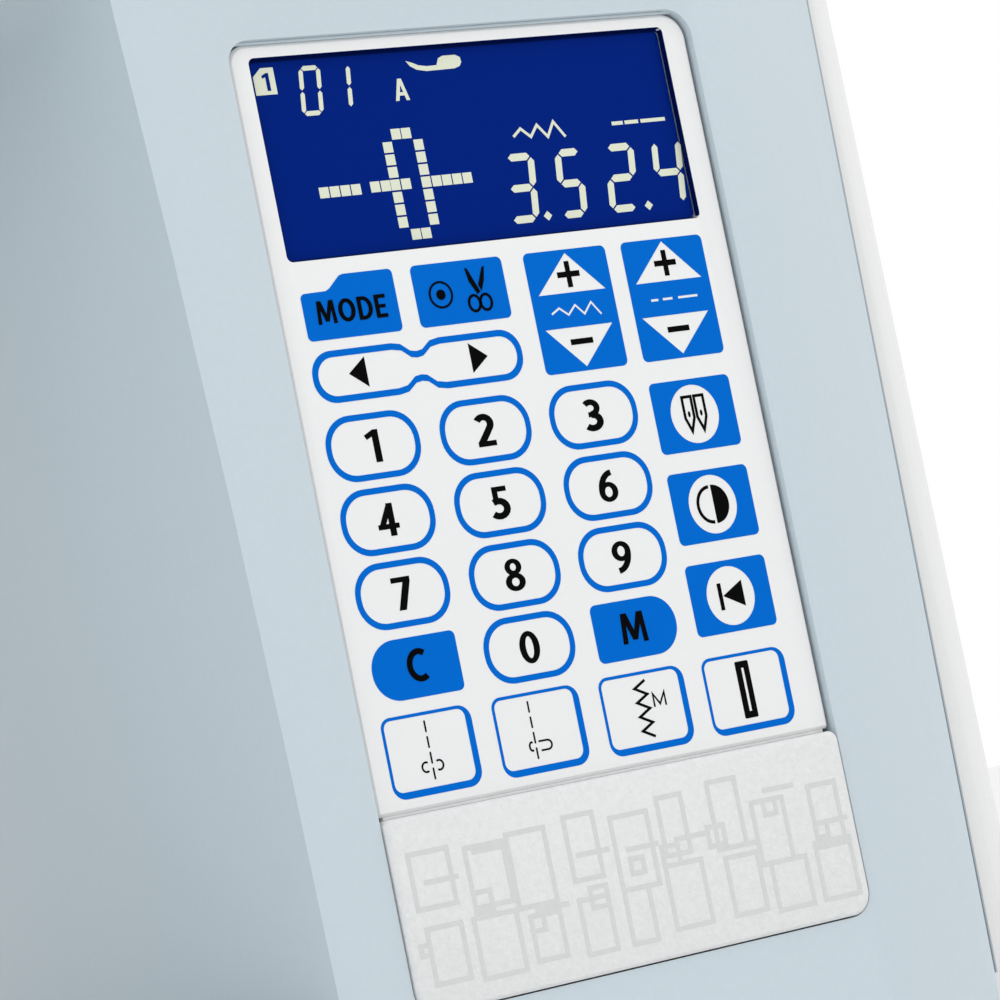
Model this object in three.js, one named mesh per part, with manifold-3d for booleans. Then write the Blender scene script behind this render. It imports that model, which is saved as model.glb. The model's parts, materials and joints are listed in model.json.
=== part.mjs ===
// Computerised free-arm sewing machine, in millimetres.
// X runs to the operator's right, Y away from the operator, Z up. The origin is the middle of the footprint,
// on the table. Each mesh is one separate piece of the machine.
import * as THREE from "three";
import { mergeVertices } from "three/addons/utils/BufferGeometryUtils.js";
import Module from "manifold-3d";

const wasm = await Module();
wasm.setup();

// ---------------------------------------------------------------- driving dimensions
const WIDTH = 400; // table end to handwheel face
const DEPTH = 176; // over the extension table
const BED_Z = 84; // sewing surface
const THROAT = 136; // bed to the underside of the arm
const ARM_HEIGHT = 73; // underside of the arm to the rim of the covers
const LID_HEIGHT = 12;
const WALL = 2.5; // moulded covers
const GAP = 0.4; // between neighbouring covers
const FIT = 0.3; // running and assembly clearance

// Heights
const BASE_Z = 6;
const ARM_UNDER = BED_Z - 54;
const COVER_FOOT = ARM_UNDER + 20; // lower edge of the pillar covers
const HEAD_BOTTOM = BED_Z + 66;
const ARM_BOTTOM = BED_Z + THROAT;
const TOP_Z = ARM_BOTTOM + ARM_HEIGHT;
const PANEL_TOP = ARM_BOTTOM - 21;
const SHAFT_Z = TOP_Z - 48;
const LOWER_Z = BED_Z - 37;
const HOOK_Z = BED_Z - 10; // mouth of the rotary hook

// Left to right
const NEEDLE_X = 102 - WIDTH / 2;
const HEAD_LEFT = NEEDLE_X - 50;
const HEAD_RIGHT = NEEDLE_X + 42;
const FACE_LEFT = HEAD_LEFT - 12;
const ARM_LEFT = FACE_LEFT - 12;
const SIDE_X = WIDTH / 2 - 17.6; // outside of the side cover
const SEAM_X = SIDE_X - 6; // front cover meets the side cover, at the rim
const SEAM_LEAN = 0.0202; // the seam leans in towards the foot
const seamAt = (z) => SEAM_X - (TOP_Z - z) * SEAM_LEAN;
const PILLAR_LEFT = SIDE_X - 105.7; // at the foot
const PILLAR_LEFT_TOP = PILLAR_LEFT - 4.4; // the edge leans left as it rises
const PANEL_X = PILLAR_LEFT + 10; // left edge of the control panel
const CORNER_TOP = 12;
const CORNER_FOOT = 20;
const CORNER_HEAD = 8;
const FILLET_ARM = 14;

// Front to back
const PILLAR_FRONT = 8 - DEPTH / 2;
const HEAD_FRONT = PILLAR_FRONT + 14;
const SEAM_FRONT = PILLAR_FRONT + 2.5; // the face falls back gently to the seam
const SIDE_FRONT = PILLAR_FRONT + 4;
const PART_Y = 30; // front and rear covers meet
const BACK_Y = DEPTH / 2 - 12;

// Mechanism
const NEEDLE_Y = 0;
const SHAFT_R = 6;
const BAR_R = 3.2; // needle bar and presser bar
const PRESSER_Y = 12;
const STROKE = 31;
const HOOK_Y = -20;
const LOWER_Y = -7;
const LOWER_R = 4;
const LIFT = 6; // travel of the presser bar
const DRIVE_X = [SIDE_X - 54.4, SIDE_X - 44.4]; // plane of the motor belt
const TIMING_X = [SIDE_X - 38.4, SIDE_X - 28.4]; // plane of the shaft belt
const DRIVE_R = 24;
const MOTOR_PULLEY_R = 7;
const TIMING_R = 11;
const MOTOR_Y = -22;
const MOTOR_Z = BED_Z + 36;
const MOTOR_R = 22;
const BELT = 1.6;
const WHEEL_R = 35;

// Control panel: a sunk keypad tile over a raised trim plate
const PANEL_WIDTH = 66.55;
const KEYPAD_HEIGHT = 93.1;
const PLATE_HEIGHT = 23;
const PANEL_SUNK = 0.8;
const PLATE_PROUD = 0.6;
const PANEL_THICK = 3;
const PANEL_FACE = PILLAR_FRONT + PANEL_SUNK;
const WINDOW = { left: 2.65, right: 3.5, top: 1.65, height: 25, corner: 0.8 };
const PANEL_CORNERS = [0.5, 0.5, 3.3, 2.5]; // radii, anticlockwise from the lower left
const PLATE_CORNERS = [2.8, 2.8, 1.3, 0.9];
const LCD_SINK = 0.9; // glass below the tile's face

// Free arm, base and table
const ARM_HALF = 40;
const TONGUE_TOP = 14;
const TABLE_CORNER = 16;
const TABLE_FOOT = 4;
const PLATE = { left: NEEDLE_X - 32, right: NEEDLE_X + 36, front: -37, back: 30, thick: 2.5 };

// ---------------------------------------------------------------- materials
function finish(color, roughness, metalness) {
  return new THREE.MeshStandardMaterial({ color, roughness, metalness });
}
const plastic = (color, roughness = 0.45) => finish(color, roughness, 0);
const metal = (color, roughness = 0.35) => finish(color, roughness, 1);
const BLUE_GREY = plastic(0xc3d0d8);
const WHITE = plastic(0xe8e8e6);
const SOFT_WHITE = plastic(0xdedfdf, 0.6);
const DARK = plastic(0x1d1f22, 0.5);
const GREY = plastic(0x8f979d);
const RUBBER = plastic(0x26272a, 0.9);
const GLASS = plastic(0x05207c, 0.15);
const CLEAR = plastic(0xdfe9ee, 0.1);
const BOARD = plastic(0x1f6b3c, 0.6);
const STEEL = metal(0xb9bcc0);
const CHROME = metal(0xd9dbde, 0.12);
const CASTING = metal(0xa3a6a8, 0.6);

// ---------------------------------------------------------------- shaping helpers
const AXES = {
  x: [new THREE.Vector3(0, 1, 0), new THREE.Vector3(0, 0, 1), new THREE.Vector3(1, 0, 0)],
  y: [new THREE.Vector3(1, 0, 0), new THREE.Vector3(0, 0, 1), new THREE.Vector3(0, -1, 0)],
  z: [new THREE.Vector3(1, 0, 0), new THREE.Vector3(0, 1, 0), new THREE.Vector3(0, 0, 1)],
};

function solid(geometry) {
  const bare = geometry.index ? geometry.toNonIndexed() : geometry.clone();
  bare.deleteAttribute("normal");
  bare.deleteAttribute("uv");
  const merged = mergeVertices(bare, 1e-4);
  return new wasm.Manifold(
    new wasm.Mesh({
      numProp: 3,
      vertProperties: merged.attributes.position.array,
      triVerts: new Uint32Array(merged.index.array),
    }),
  );
}

const grow = ([low, high], by) => [low - by, high + by];
const around = (centre, half) => [centre - half, centre + half];
const middle = ([low, high]) => (low + high) / 2;
const join = (first, ...rest) => rest.reduce((sum, s) => sum.add(s), first);
const cut = (first, ...rest) => rest.reduce((left, s) => left.subtract(s), first);

function box([x0, x1], [y0, y1], [z0, z1]) {
  const g = new THREE.BoxGeometry(x1 - x0, y1 - y0, z1 - z0);
  return solid(g.translate((x0 + x1) / 2, (y0 + y1) / 2, (z0 + z1) / 2));
}

// Outline extruded along an axis between two places. An outline is (x, y) for z, (x, z) for y, (y, z) for x.
function prism(outline, axis, [from, to], { bevel = 0, steps = 2, curve = 3 } = {}) {
  const g = new THREE.ExtrudeGeometry(outline, {
    depth: to - from - 2 * bevel,
    bevelEnabled: bevel > 0,
    bevelThickness: bevel,
    bevelSize: bevel,
    bevelOffset: -bevel,
    bevelSegments: steps,
    curveSegments: curve,
  });
  g.translate(0, 0, bevel);
  g.applyMatrix4(new THREE.Matrix4().makeBasis(...AXES[axis]));
  const start = axis === "y" ? to : from;
  return solid(g.translate(...(axis === "x" ? [start, 0, 0] : axis === "y" ? [0, start, 0] : [0, 0, start])));
}

// Round bar along an axis; a and b are its centre in the outline plane of that axis.
function rod(axis, [a, b], r, [from, to], sides = 20) {
  const g = new THREE.CylinderGeometry(r, r, to - from, sides).rotateX(Math.PI / 2);
  const matrix = new THREE.Matrix4().makeBasis(...AXES[axis]);
  const mid = (from + to) / 2;
  g.applyMatrix4(matrix);
  return solid(g.translate(...(axis === "x" ? [mid, a, b] : axis === "y" ? [a, mid, b] : [a, b, mid])));
}

// Turned piece: profile of [radius, place along the axis] from one end of the axis to the other.
function turned(axis, [a, b], profile, sides = 24) {
  const points = profile.map(([r, h]) => new THREE.Vector2(r, h));
  const g = new THREE.LatheGeometry(points, sides).rotateX(Math.PI / 2);
  const forward = { x: AXES.x, z: AXES.z, y: [AXES.z[0], new THREE.Vector3(0, 0, -1), AXES.z[1]] }[axis];
  g.applyMatrix4(new THREE.Matrix4().makeBasis(...forward));
  return solid(g.translate(...(axis === "x" ? [0, a, b] : axis === "y" ? [a, 0, b] : [a, b, 0])));
}

// r is one radius, or four, anticlockwise from the corner (x0, y0).
function roundRect([x0, x1], [y0, y1], r) {
  const [a, b, c, d] = Array.isArray(r) ? r : [r, r, r, r];
  const s = new THREE.Shape();
  s.moveTo(x0 + a, y0);
  s.lineTo(x1 - b, y0).absarc(x1 - b, y0 + b, b, -Math.PI / 2, 0, false);
  s.lineTo(x1, y1 - c).absarc(x1 - c, y1 - c, c, 0, Math.PI / 2, false);
  s.lineTo(x0 + d, y1).absarc(x0 + d, y1 - d, d, Math.PI / 2, Math.PI, false);
  s.lineTo(x0, y0 + a).absarc(x0 + a, y0 + a, a, Math.PI, 1.5 * Math.PI, false);
  return s;
}

// Rounded rectangle in plan, extruded upwards.
const pad = (x, y, z, r, options) => prism(roundRect(x, y, r), "z", z, options);

function polygon(points) {
  return new THREE.Shape(points.map(([x, y]) => new THREE.Vector2(x, y)));
}

function mesh(name, material, manifold) {
  const m = manifold.getMesh();
  const g = new THREE.BufferGeometry();
  g.setAttribute("position", new THREE.BufferAttribute(new Float32Array(m.vertProperties), 3));
  g.setIndex(new THREE.BufferAttribute(new Uint32Array(m.triVerts), 1));
  g.computeVertexNormals();
  const made = new THREE.Mesh(g, material);
  made.name = name;
  return made;
}

// ---------------------------------------------------------------- outlines shared by the covers
// Front view of head, arm and pillar. inset shrinks it; the open edges run on past the rim by reach.
function bodyOutline(inset = 0, reach = 0) {
  const left = HEAD_LEFT - reach;
  const top = TOP_Z + reach;
  const foot = COVER_FOOT - reach;
  const rightTop = seamAt(top) + reach;
  const rightFoot = seamAt(foot) + reach;
  const round = Math.max(FILLET_ARM + inset, 0.5);
  const s = new THREE.Shape();
  s.moveTo(PILLAR_LEFT + inset, foot);
  const [edge, spring] = [PILLAR_LEFT_TOP + inset, ARM_BOTTOM + inset - round];
  s.quadraticCurveTo(PILLAR_LEFT + inset + 0.2, BED_Z + 44, edge, spring);
  s.absarc(edge - round, spring, round, 0, Math.PI / 2, false);
  s.lineTo(HEAD_RIGHT - inset + round, ARM_BOTTOM + inset);
  s.absarc(HEAD_RIGHT - inset + round, ARM_BOTTOM + inset - round, round, Math.PI / 2, Math.PI, false);
  const corner = Math.max(CORNER_HEAD - inset, 0.5);
  s.lineTo(HEAD_RIGHT - inset, HEAD_BOTTOM + inset + corner);
  s.absarc(HEAD_RIGHT - inset - corner, HEAD_BOTTOM + inset + corner, corner, 0, -Math.PI / 2, true);
  s.lineTo(left, HEAD_BOTTOM + inset);
  s.lineTo(left, top);
  const crown = reach > 1 ? 0.5 : CORNER_TOP + reach;
  s.lineTo(rightTop - crown, top).absarc(rightTop - crown, top - crown, crown, Math.PI / 2, 0, true);
  const heel = reach > 1 ? 0.5 : CORNER_FOOT + reach;
  s.lineTo(rightFoot, foot + heel).absarc(rightFoot - heel, foot + heel, heel, 0, -Math.PI / 2, true);
  s.lineTo(PILLAR_LEFT + inset, foot);
  return s;
}

// Plan view of the front: flat head, a sweep forward to the pillar, then a gentle fall to the seam.
function planOutline(inset, left, right, back) {
  const s = new THREE.Shape();
  s.moveTo(left, HEAD_FRONT + inset);
  s.lineTo(HEAD_RIGHT - 6, HEAD_FRONT + inset);
  const [sweep, end] = [HEAD_RIGHT + 36, PILLAR_LEFT - 53];
  s.bezierCurveTo(sweep, HEAD_FRONT + inset, sweep, PILLAR_FRONT + inset, end, PILLAR_FRONT + inset);
  s.lineTo(PANEL_X + PANEL_WIDTH + 1.5, PILLAR_FRONT + inset);
  s.quadraticCurveTo(SEAM_X - 8, PILLAR_FRONT + inset + 0.1, SEAM_X, SEAM_FRONT + inset);
  if (right > SEAM_X) s.lineTo(right, SEAM_FRONT + inset + (right - SEAM_X) * 0.35);
  s.lineTo(right, back);
  s.lineTo(left, back);
  s.lineTo(left, HEAD_FRONT + inset);
  return s;
}

const PANEL_SPAN = [PANEL_X, PANEL_X + PANEL_WIDTH];
const panelBox = (margin, top, height) => [grow(PANEL_SPAN, margin), grow([top - height, top], margin)];
const PLATE_TOP = PANEL_TOP - KEYPAD_HEIGHT - GAP;

// ---------------------------------------------------------------- covers
const FLOOR_CUT = [HEAD_BOTTOM - 5, HEAD_BOTTOM + 5];
const BAR_HATCH = [[NEEDLE_X - 15, NEEDLE_X + 25], [-14, 34], FLOOR_CUT];
const PILLAR_WALL = [PILLAR_LEFT - 17, PILLAR_LEFT + 13];
function frontCover() {
  const skin = prism(bodyOutline(), "y", [PILLAR_FRONT - 15, PART_Y], { curve: 5 }).intersect(
    prism(planOutline(0, HEAD_LEFT - 5, SEAM_X + 5, PART_Y + 5), "z", [0, TOP_Z + 20], { curve: 6 }),
  );
  const hollow = prism(bodyOutline(WALL, 20), "y", [PILLAR_FRONT - 15, PART_Y + 20]).intersect(
    prism(planOutline(WALL, HEAD_LEFT - 40, SEAM_X + 40, PART_Y + 40), "z", [-20, TOP_Z + 40], { curve: 6 }),
  );
  const behind = [PANEL_FACE + PANEL_THICK + GAP, PILLAR_FRONT + 12];
  const front = [HEAD_FRONT - 3, HEAD_FRONT + WALL + 3];
  const slot = (x, z, r) => prism(roundRect(x, z, r), "y", front);
  const pocket = roundRect(...panelBox(GAP, PANEL_TOP, KEYPAD_HEIGHT + GAP + PLATE_HEIGHT), [
    PLATE_CORNERS[0] + GAP,
    PLATE_CORNERS[1] + GAP,
    PANEL_CORNERS[2] + GAP,
    PANEL_CORNERS[3] + GAP,
  ]);
  return cut(
    skin,
    hollow,
    prism(pocket, "y", [PILLAR_FRONT - 10, behind[0]], { curve: 6 }),
    box(grow(PANEL_SPAN, -3), [PILLAR_FRONT - 10, behind[1]], [PLATE_TOP - PLATE_HEIGHT + 3, PANEL_TOP - 1]),
    box(PILLAR_WALL, [3 - ARM_HALF, PART_Y + 5], [COVER_FOOT - 5, BED_Z - 3]), // the free arm passes in
    box(...BAR_HATCH), // needle and presser bars
    slot(grow(TAKE_UP.x, 2.5), [SHAFT_Z - 29, SHAFT_Z + 27], 2),
    slot([NEEDLE_X + 14, NEEDLE_X + 18], [SHAFT_Z - 32, SHAFT_Z + 27], 1.9), // thread
    slot(grow(TENSION.x, 1.5), around(SHAFT_Z, 15), 2),
    slot(grow([SLIDER.x[0], SLIDER.x[1] + SLIDER.travel], 0.5), around(SLIDER.z, 2), 1.9),
    box(grow(LAMP.x, GAP), grow(LAMP.y, GAP), FLOOR_CUT),
    ...BUTTONS.map((b) => rod("y", [b.x, BUTTON_Z], b.r + FIT, front)),
  );
}

function rearCover() {
  const skin = prism(bodyOutline(), "y", [PART_Y + GAP, BACK_Y]);
  const rounded = skin.intersect(
    prism(roundRect([2 * HEAD_LEFT, SEAM_X + 78], [-TOP_Z, TOP_Z], 6), "y", [0, BACK_Y], { bevel: 5 }),
  );
  const hollow = prism(bodyOutline(WALL, 20), "y", [PART_Y - 5, BACK_Y - WALL]).intersect(
    box([-WIDTH, WIDTH], [0, DEPTH], [0, TOP_Z - WALL]),
  );
  const vents = [0, 1, 2, 3, 4, 5].map((i) => {
    const z = BED_Z + 12 + 9 * i;
    return prism(roundRect([PILLAR_LEFT + 25, SIDE_X - 32], [z, z + 3.5], 1.7), "y", around(BACK_Y, 5));
  });
  const lug = (x) => box([x - 4, x + 4], [HANDLE_Y - 5, HANDLE_Y + 5], [TOP_Z - 1, HANDLE_Z + 4]);
  const pin = (from, to) => rod("x", [HANDLE_Y, HANDLE_Z], 2.6, [from, to], 16);
  const shell = cut(
    rounded,
    hollow,
    box([SEAM_X - GAP, WIDTH], [0, DEPTH], [0, TOP_Z + 10]),
    box(PILLAR_WALL, [PART_Y - 5, ARM_HALF - 3], [COVER_FOOT - 5, BED_Z - 3]),
    box(...BAR_HATCH),
    ...vents,
  );
  const inner = HANDLE_X.map((x, i) => x + (i ? -1 : 1) * (HANDLE_LEG + 4.5));
  const pins = [pin(inner[0] - 10, inner[0]), pin(inner[1], inner[1] + 10)];
  return join(shell, ...inner.map(lug), ...pins);
}

function sideCover() {
  const r = 6;
  const block = (inset, left) => {
    const [x, y0, y1] = [SIDE_X - inset, SIDE_FRONT + inset, BACK_Y - inset];
    const plan = new THREE.Shape();
    plan.moveTo(left, y0);
    plan.lineTo(x - r, y0).absarc(x - r, y0 + r, r, -Math.PI / 2, 0, false);
    plan.lineTo(x, y1 - r).absarc(x - r, y1 - r, r, 0, Math.PI / 2, false);
    plan.lineTo(left, y1);
    return prism(plan, "z", [0, TOP_Z + 60]);
  };
  const rim = roundRect([-WIDTH, SIDE_X], [-TOP_Z, TOP_Z + 1.2], 13);
  const start = SEAM_X - CORNER_FOOT - 5;
  const through = [SEAM_X - 10, WIDTH];
  return cut(
    block(0, start).intersect(prism(rim, "y", [-DEPTH, DEPTH])),
    block(WALL, -WIDTH).intersect(box([-WIDTH, WIDTH], [-DEPTH, DEPTH], [0, TOP_Z - WALL])),
    prism(bodyOutline(-GAP, GAP), "y", [-DEPTH, DEPTH], { curve: 5 }),
    box([-WIDTH, WIDTH], [-DEPTH, DEPTH], [-TOP_Z, COVER_FOOT]),
    box([-WIDTH, WIDTH], [-DEPTH, DEPTH], [TOP_Z, TOP_Z + 80]),
    rod("x", [NEEDLE_Y, SHAFT_Z], SHAFT_R + 3, through),
    prism(roundRect(INLET.y, INLET.z, 3), "x", through),
    prism(roundRect(JACK.y, JACK.z, 3), "x", through),
    prism(roundRect(SWITCH.y, SWITCH.z, 2), "x", through),
  );
}

function faceCover() {
  const r = 10;
  const shape = (inset) => {
    const s = new THREE.Shape();
    const [x, y0, y1] = [FACE_LEFT + inset, HEAD_FRONT + inset, BACK_Y - inset];
    const open = HEAD_LEFT - GAP + (inset ? 5 : 0);
    s.moveTo(open, y0);
    s.lineTo(open, y1);
    s.lineTo(x + r, y1).absarc(x + r, y1 - r, r, Math.PI / 2, Math.PI, false);
    s.lineTo(x, y0 + r).absarc(x + r, y0 + r, r, Math.PI, 1.5 * Math.PI, false);
    s.lineTo(open, y0);
    return s;
  };
  return cut(
    prism(shape(0), "z", [HEAD_BOTTOM, TOP_Z], { curve: 4 }),
    prism(shape(WALL), "z", [HEAD_BOTTOM + WALL, TOP_Z - WALL], { curve: 4 }),
  );
}

const LID_BACK = 24;
const LID_HINGE = { y: 27, z: TOP_Z + 5 };
const LID_KNUCKLES = [NEEDLE_X - 2, SIDE_X - 52.4];

function topLid() {
  const base = TOP_Z + GAP;
  const plate = prism(planOutline(0.3, FACE_LEFT + 1, SIDE_X - 1, LID_BACK), "z", [base, base + LID_HEIGHT], {
    bevel: 4,
    curve: 6,
  });
  const squared = join(
    prism(planOutline(0.3, FACE_LEFT + 1, SIDE_X - 1, LID_BACK), "z", [base, base + 6], { curve: 6 }),
    plate,
  );
  const hollow = prism(planOutline(WALL + 2.5, FACE_LEFT + 6, SIDE_X - 6, LID_BACK - WALL), "z", [
    base - 5,
    base + LID_HEIGHT - WALL,
  ]);
  const knuckles = LID_KNUCKLES.map((x) =>
    join(
      rod("x", [LID_HINGE.y, LID_HINGE.z], 3, [x - 8, x + 8], 20),
      box([x - 8, x + 8], [LID_BACK - 2, LID_HINGE.y], [LID_HINGE.z - 1.5, LID_HINGE.z + 3]),
    ),
  );
  return join(cut(squared, hollow), ...knuckles);
}

const TRAY = {
  left: HEAD_LEFT + 6,
  right: SIDE_X - 24.4,
  front: HEAD_FRONT + 6,
  back: 18,
  floor: TOP_Z - 18,
  trough: TOP_Z - 34,
};
const TROUGH = { x: [-10, 112], y: [TRAY.front + 2, -19] };

function topTray() {
  const rim = prism(planOutline(WALL + 2, HEAD_LEFT + 1, SEAM_X, PART_Y), "z", [TOP_Z - 3, TOP_Z - GAP]);
  const [x, y] = [
    [TRAY.left, TRAY.right],
    [TRAY.front, TRAY.back],
  ];
  const tub = box(x, y, [TRAY.floor - 2, TOP_Z - 1.5]);
  const deep = box(grow(TROUGH.x, 2), [TRAY.front, TROUGH.y[1] + 2], [TRAY.trough - 2, TRAY.floor]);
  const inside = pad(grow(x, -2), grow(y, -2), [TRAY.floor, TOP_Z + 5], 6);
  return cut(
    join(rim, tub, deep),
    inside,
    box([SEAM_X - CORNER_TOP - 1, WIDTH], [-DEPTH, DEPTH], [TRAY.trough, TOP_Z]),
    pad(TROUGH.x, TROUGH.y, [TRAY.trough, TOP_Z + 5], 5),
  );
}

// ---------------------------------------------------------------- control panel
function controlPanel() {
  const face = PANEL_FACE;
  const outline = roundRect(...panelBox(0, PANEL_TOP, KEYPAD_HEIGHT), PANEL_CORNERS);
  const body = prism(outline, "y", [face, face + PANEL_THICK], { bevel: 0.4, steps: 1, curve: 6 });
  const window = prism(
    roundRect(
      [PANEL_X + WINDOW.left, PANEL_X + PANEL_WIDTH - WINDOW.right],
      [PANEL_TOP - WINDOW.top - WINDOW.height, PANEL_TOP - WINDOW.top],
      WINDOW.corner,
    ),
    "y",
    [face - 5, face + 10],
  );
  return cut(body, window);
}

function trimPlate() {
  const face = PILLAR_FRONT - PLATE_PROUD;
  const outline = roundRect(...panelBox(GAP - FIT, PLATE_TOP - GAP + FIT, PLATE_HEIGHT), PLATE_CORNERS);
  return prism(outline, "y", [face, PANEL_FACE + PANEL_THICK], { bevel: 0.5, curve: 6 });
}

function lcdModule() {
  const face = PANEL_FACE + LCD_SINK;
  const inset = FIT;
  const [x0, x1] = [PANEL_X + WINDOW.left + inset, PANEL_X + PANEL_WIDTH - WINDOW.right - inset];
  const z1 = PANEL_TOP - WINDOW.top - inset;
  const z0 = z1 - WINDOW.height + 2 * inset;
  const glass = prism(roundRect([x0, x1], [z0, z1], WINDOW.corner), "y", [face, face + 2.3]);
  const frame = box([x0 - 1, x1 + 1], [face + 2.4, face + 5], [z0 - 2, z1 - 0.5]);
  return join(glass, box([x0 + 2, x1 - 2], [face + 2, face + 3], [z0 + 2, z1 - 2]), frame);
}

function keypadBoard() {
  const y = PANEL_FACE + PANEL_THICK + 3.2;
  const board = box([PANEL_X + 5, PANEL_X + 61], [y, y + 1.6], [PLATE_TOP - 10, PANEL_TOP - 32]);
  const domes = [0, 1, 2, 3].flatMap((row) =>
    [0, 1, 2].map((column) =>
      rod("y", [PANEL_X + 11.9 + 15.9 * column, PANEL_TOP - 49.5 - 9 * row], 2.4, [y - 1.2, y + 0.5], 8),
    ),
  );
  return join(board, ...domes);
}

// ---------------------------------------------------------------- free arm, base and table
function basePan() {
  const x = [PILLAR_LEFT - 0.5, SIDE_X];
  const y = [SIDE_FRONT - 1, BACK_Y + 1];
  const rim = COVER_FOOT - GAP;
  const outer = pad(x, y, [BASE_Z, rim], 7);
  const inner = pad(grow(x, -WALL), grow(y, -WALL), [BASE_Z + WALL, rim + 5], 5);
  const tongue = pad([ARM_LEFT + 4, PILLAR_LEFT + 6], around(0, ARM_HALF - 2), [BASE_Z, TONGUE_TOP], 6);
  const mouth = box(PILLAR_WALL, around(0, ARM_HALF - 3), [ARM_UNDER + 3, rim + 5]);
  return cut(join(cut(outer, inner), tongue), mouth);
}

function freeArmCover() {
  const end = PILLAR_LEFT - 0.9;
  const [y, z] = [around(0, ARM_HALF), [ARM_UNDER, BED_Z]];
  const skin = prism(roundRect(y, z, 5), "x", [ARM_LEFT, end + 3], { bevel: 3 });
  const hollow = prism(roundRect(grow(y, -WALL), grow(z, -WALL), 3), "x", [ARM_LEFT + WALL, end + 20]);
  const opening = pad([PLATE.left, PLATE.right], [PLATE.front, PLATE.back], around(BED_Z, 20), 3);
  return cut(skin, hollow, opening, box([end, end + 60], [-60, 60], [0, BED_Z + 20]));
}

function extensionTable() {
  const half = DEPTH / 2;
  const [x0, x1] = [-WIDTH / 2, PILLAR_LEFT - 4.5];
  const clear = ARM_HALF + 0.6;
  const outline = (inset) => {
    const r = TABLE_CORNER - inset;
    const s = new THREE.Shape();
    s.moveTo(x1 - inset, inset - half);
    s.lineTo(x1 - inset, -clear - inset);
    s.lineTo(ARM_LEFT - 0.6 - inset, -clear - inset);
    s.lineTo(ARM_LEFT - 0.6 - inset, clear + inset);
    s.lineTo(x1 - inset, clear + inset);
    s.lineTo(x1 - inset, half - inset);
    s.lineTo(x0 + inset + r, half - inset);
    s.absarc(x0 + inset + r, half - inset - r, r, Math.PI / 2, Math.PI, false);
    s.lineTo(x0 + inset, inset - half + r);
    s.absarc(x0 + inset + r, inset - half + r, r, Math.PI, 1.5 * Math.PI, false);
    s.lineTo(x1 - inset, inset - half);
    return s;
  };
  const skin = prism(outline(0), "z", [TABLE_FOOT, BED_Z], { bevel: 1.2, steps: 1, curve: 4 });
  return cut(skin, prism(outline(WALL), "z", [TABLE_FOOT - 5, BED_Z - WALL], { curve: 4 }));
}

const foot = ([x, y]) =>
  turned("z", [x, y], [
    [0, 0],
    [8.5, 0],
    [9.5, 1.2],
    [9.5, BASE_Z - FIT],
    [0, BASE_Z - FIT],
  ], 16);

// ---------------------------------------------------------------- frame and drive
function mainFrame() {
  const [left, top] = [NEEDLE_X - 34, SHAFT_Z + 20];
  const [low0, low1] = [LOWER_Z - 11, LOWER_Z + 11];
  const plateX = [SIDE_X - 24.4, SIDE_X - 16.4];
  const lower = box([ARM_LEFT + 22, plateX[0] + 2], [20, 34], [low0, low1]);
  const column = box([PILLAR_LEFT + 7, DRIVE_X[0] - 6], [14, 38], [low0, top]);
  const upper = box([left, DRIVE_X[0] - 6], [20, 34], [SHAFT_Z - 14, top]);
  const head = box([left, left + 14], [-12, 34], [HEAD_BOTTOM + 14, top]);
  const shaftBlock = (x) => box([x, x + 14], [-11, 24], [SHAFT_Z - 11, SHAFT_Z + 11]);
  const lowerBlock = (x) => box([x, x + 8], [LOWER_Y - 7, 24], [LOWER_Z - 8, LOWER_Z + 8]);
  const barBlock = (z) => box([left + 7, NEEDLE_X + 7], [-7, 24], [z, z + 8]);
  const tie = (z) => box([PILLAR_LEFT + 33, plateX[0] + 2], [28, 34], [z, z + 14]);
  const [hatch, post] = [LOWER_Z - 13.8, HOOK_Z - 22];
  const bored = [-WIDTH, WIDTH];
  return cut(
    join(
      lower,
      column,
      upper,
      head,
      shaftBlock(NEEDLE_X + 28),
      shaftBlock(DRIVE_X[0] - 20),
      lowerBlock(NEEDLE_X + 28),
      lowerBlock(PILLAR_LEFT - 17),
      lowerBlock(DRIVE_X[0] - 2),
      barBlock(SHAFT_Z - 10),
      barBlock(HEAD_BOTTOM + 14),
      box(plateX, [-12, 34], [low0, top]),
      tie(ARM_BOTTOM - 12),
      tie(BED_Z - 20),
      box([NEEDLE_X - 12, NEEDLE_X + 12], [HOOK_Y - 10, 24], [hatch, hatch + 3.3]),
      rod("z", [NEEDLE_X, HOOK_Y], 2.4, [hatch + 1, post], 16),
      box([LIFTER.x - 5, LIFTER.x + 5], [26.5, 33], [LIFTER.z - 5, SHAFT_Z - 10]),
      rod("y", [LIFTER.x, LIFTER.z], 2, [17.5, 28], 16),
    ),
    rod("x", [NEEDLE_Y, SHAFT_Z], SHAFT_R + FIT, bored),
    rod("x", [LOWER_Y, LOWER_Z], LOWER_R + FIT, bored),
    rod("z", [NEEDLE_X, NEEDLE_Y], BAR_R + FIT, [HEAD_BOTTOM, top + 1]),
    rod("z", [NEEDLE_X, PRESSER_Y], BAR_R + FIT, [HEAD_BOTTOM, top + 1]),
  );
}

const armShaft = () => rod("x", [NEEDLE_Y, SHAFT_Z], SHAFT_R, [NEEDLE_X + 26, WIDTH / 2 - 6]);
const lowerShaft = () =>
  join(
    rod("x", [LOWER_Y, LOWER_Z], LOWER_R, [NEEDLE_X - 16, SIDE_X - 25.4]),
    rod("x", [LOWER_Y, LOWER_Z], 5, [NEEDLE_X - 9, NEEDLE_X + 9]),
  );

function needleCrank() {
  const disc = rod("x", [NEEDLE_Y, SHAFT_Z], 19, [NEEDLE_X + 16, NEEDLE_X + 25.7], 28);
  const pin = rod("x", [NEEDLE_Y, SHAFT_Z + STROKE / 2], 3, [NEEDLE_X + 10, NEEDLE_X + 17], 12);
  return join(disc, pin);
}

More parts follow.
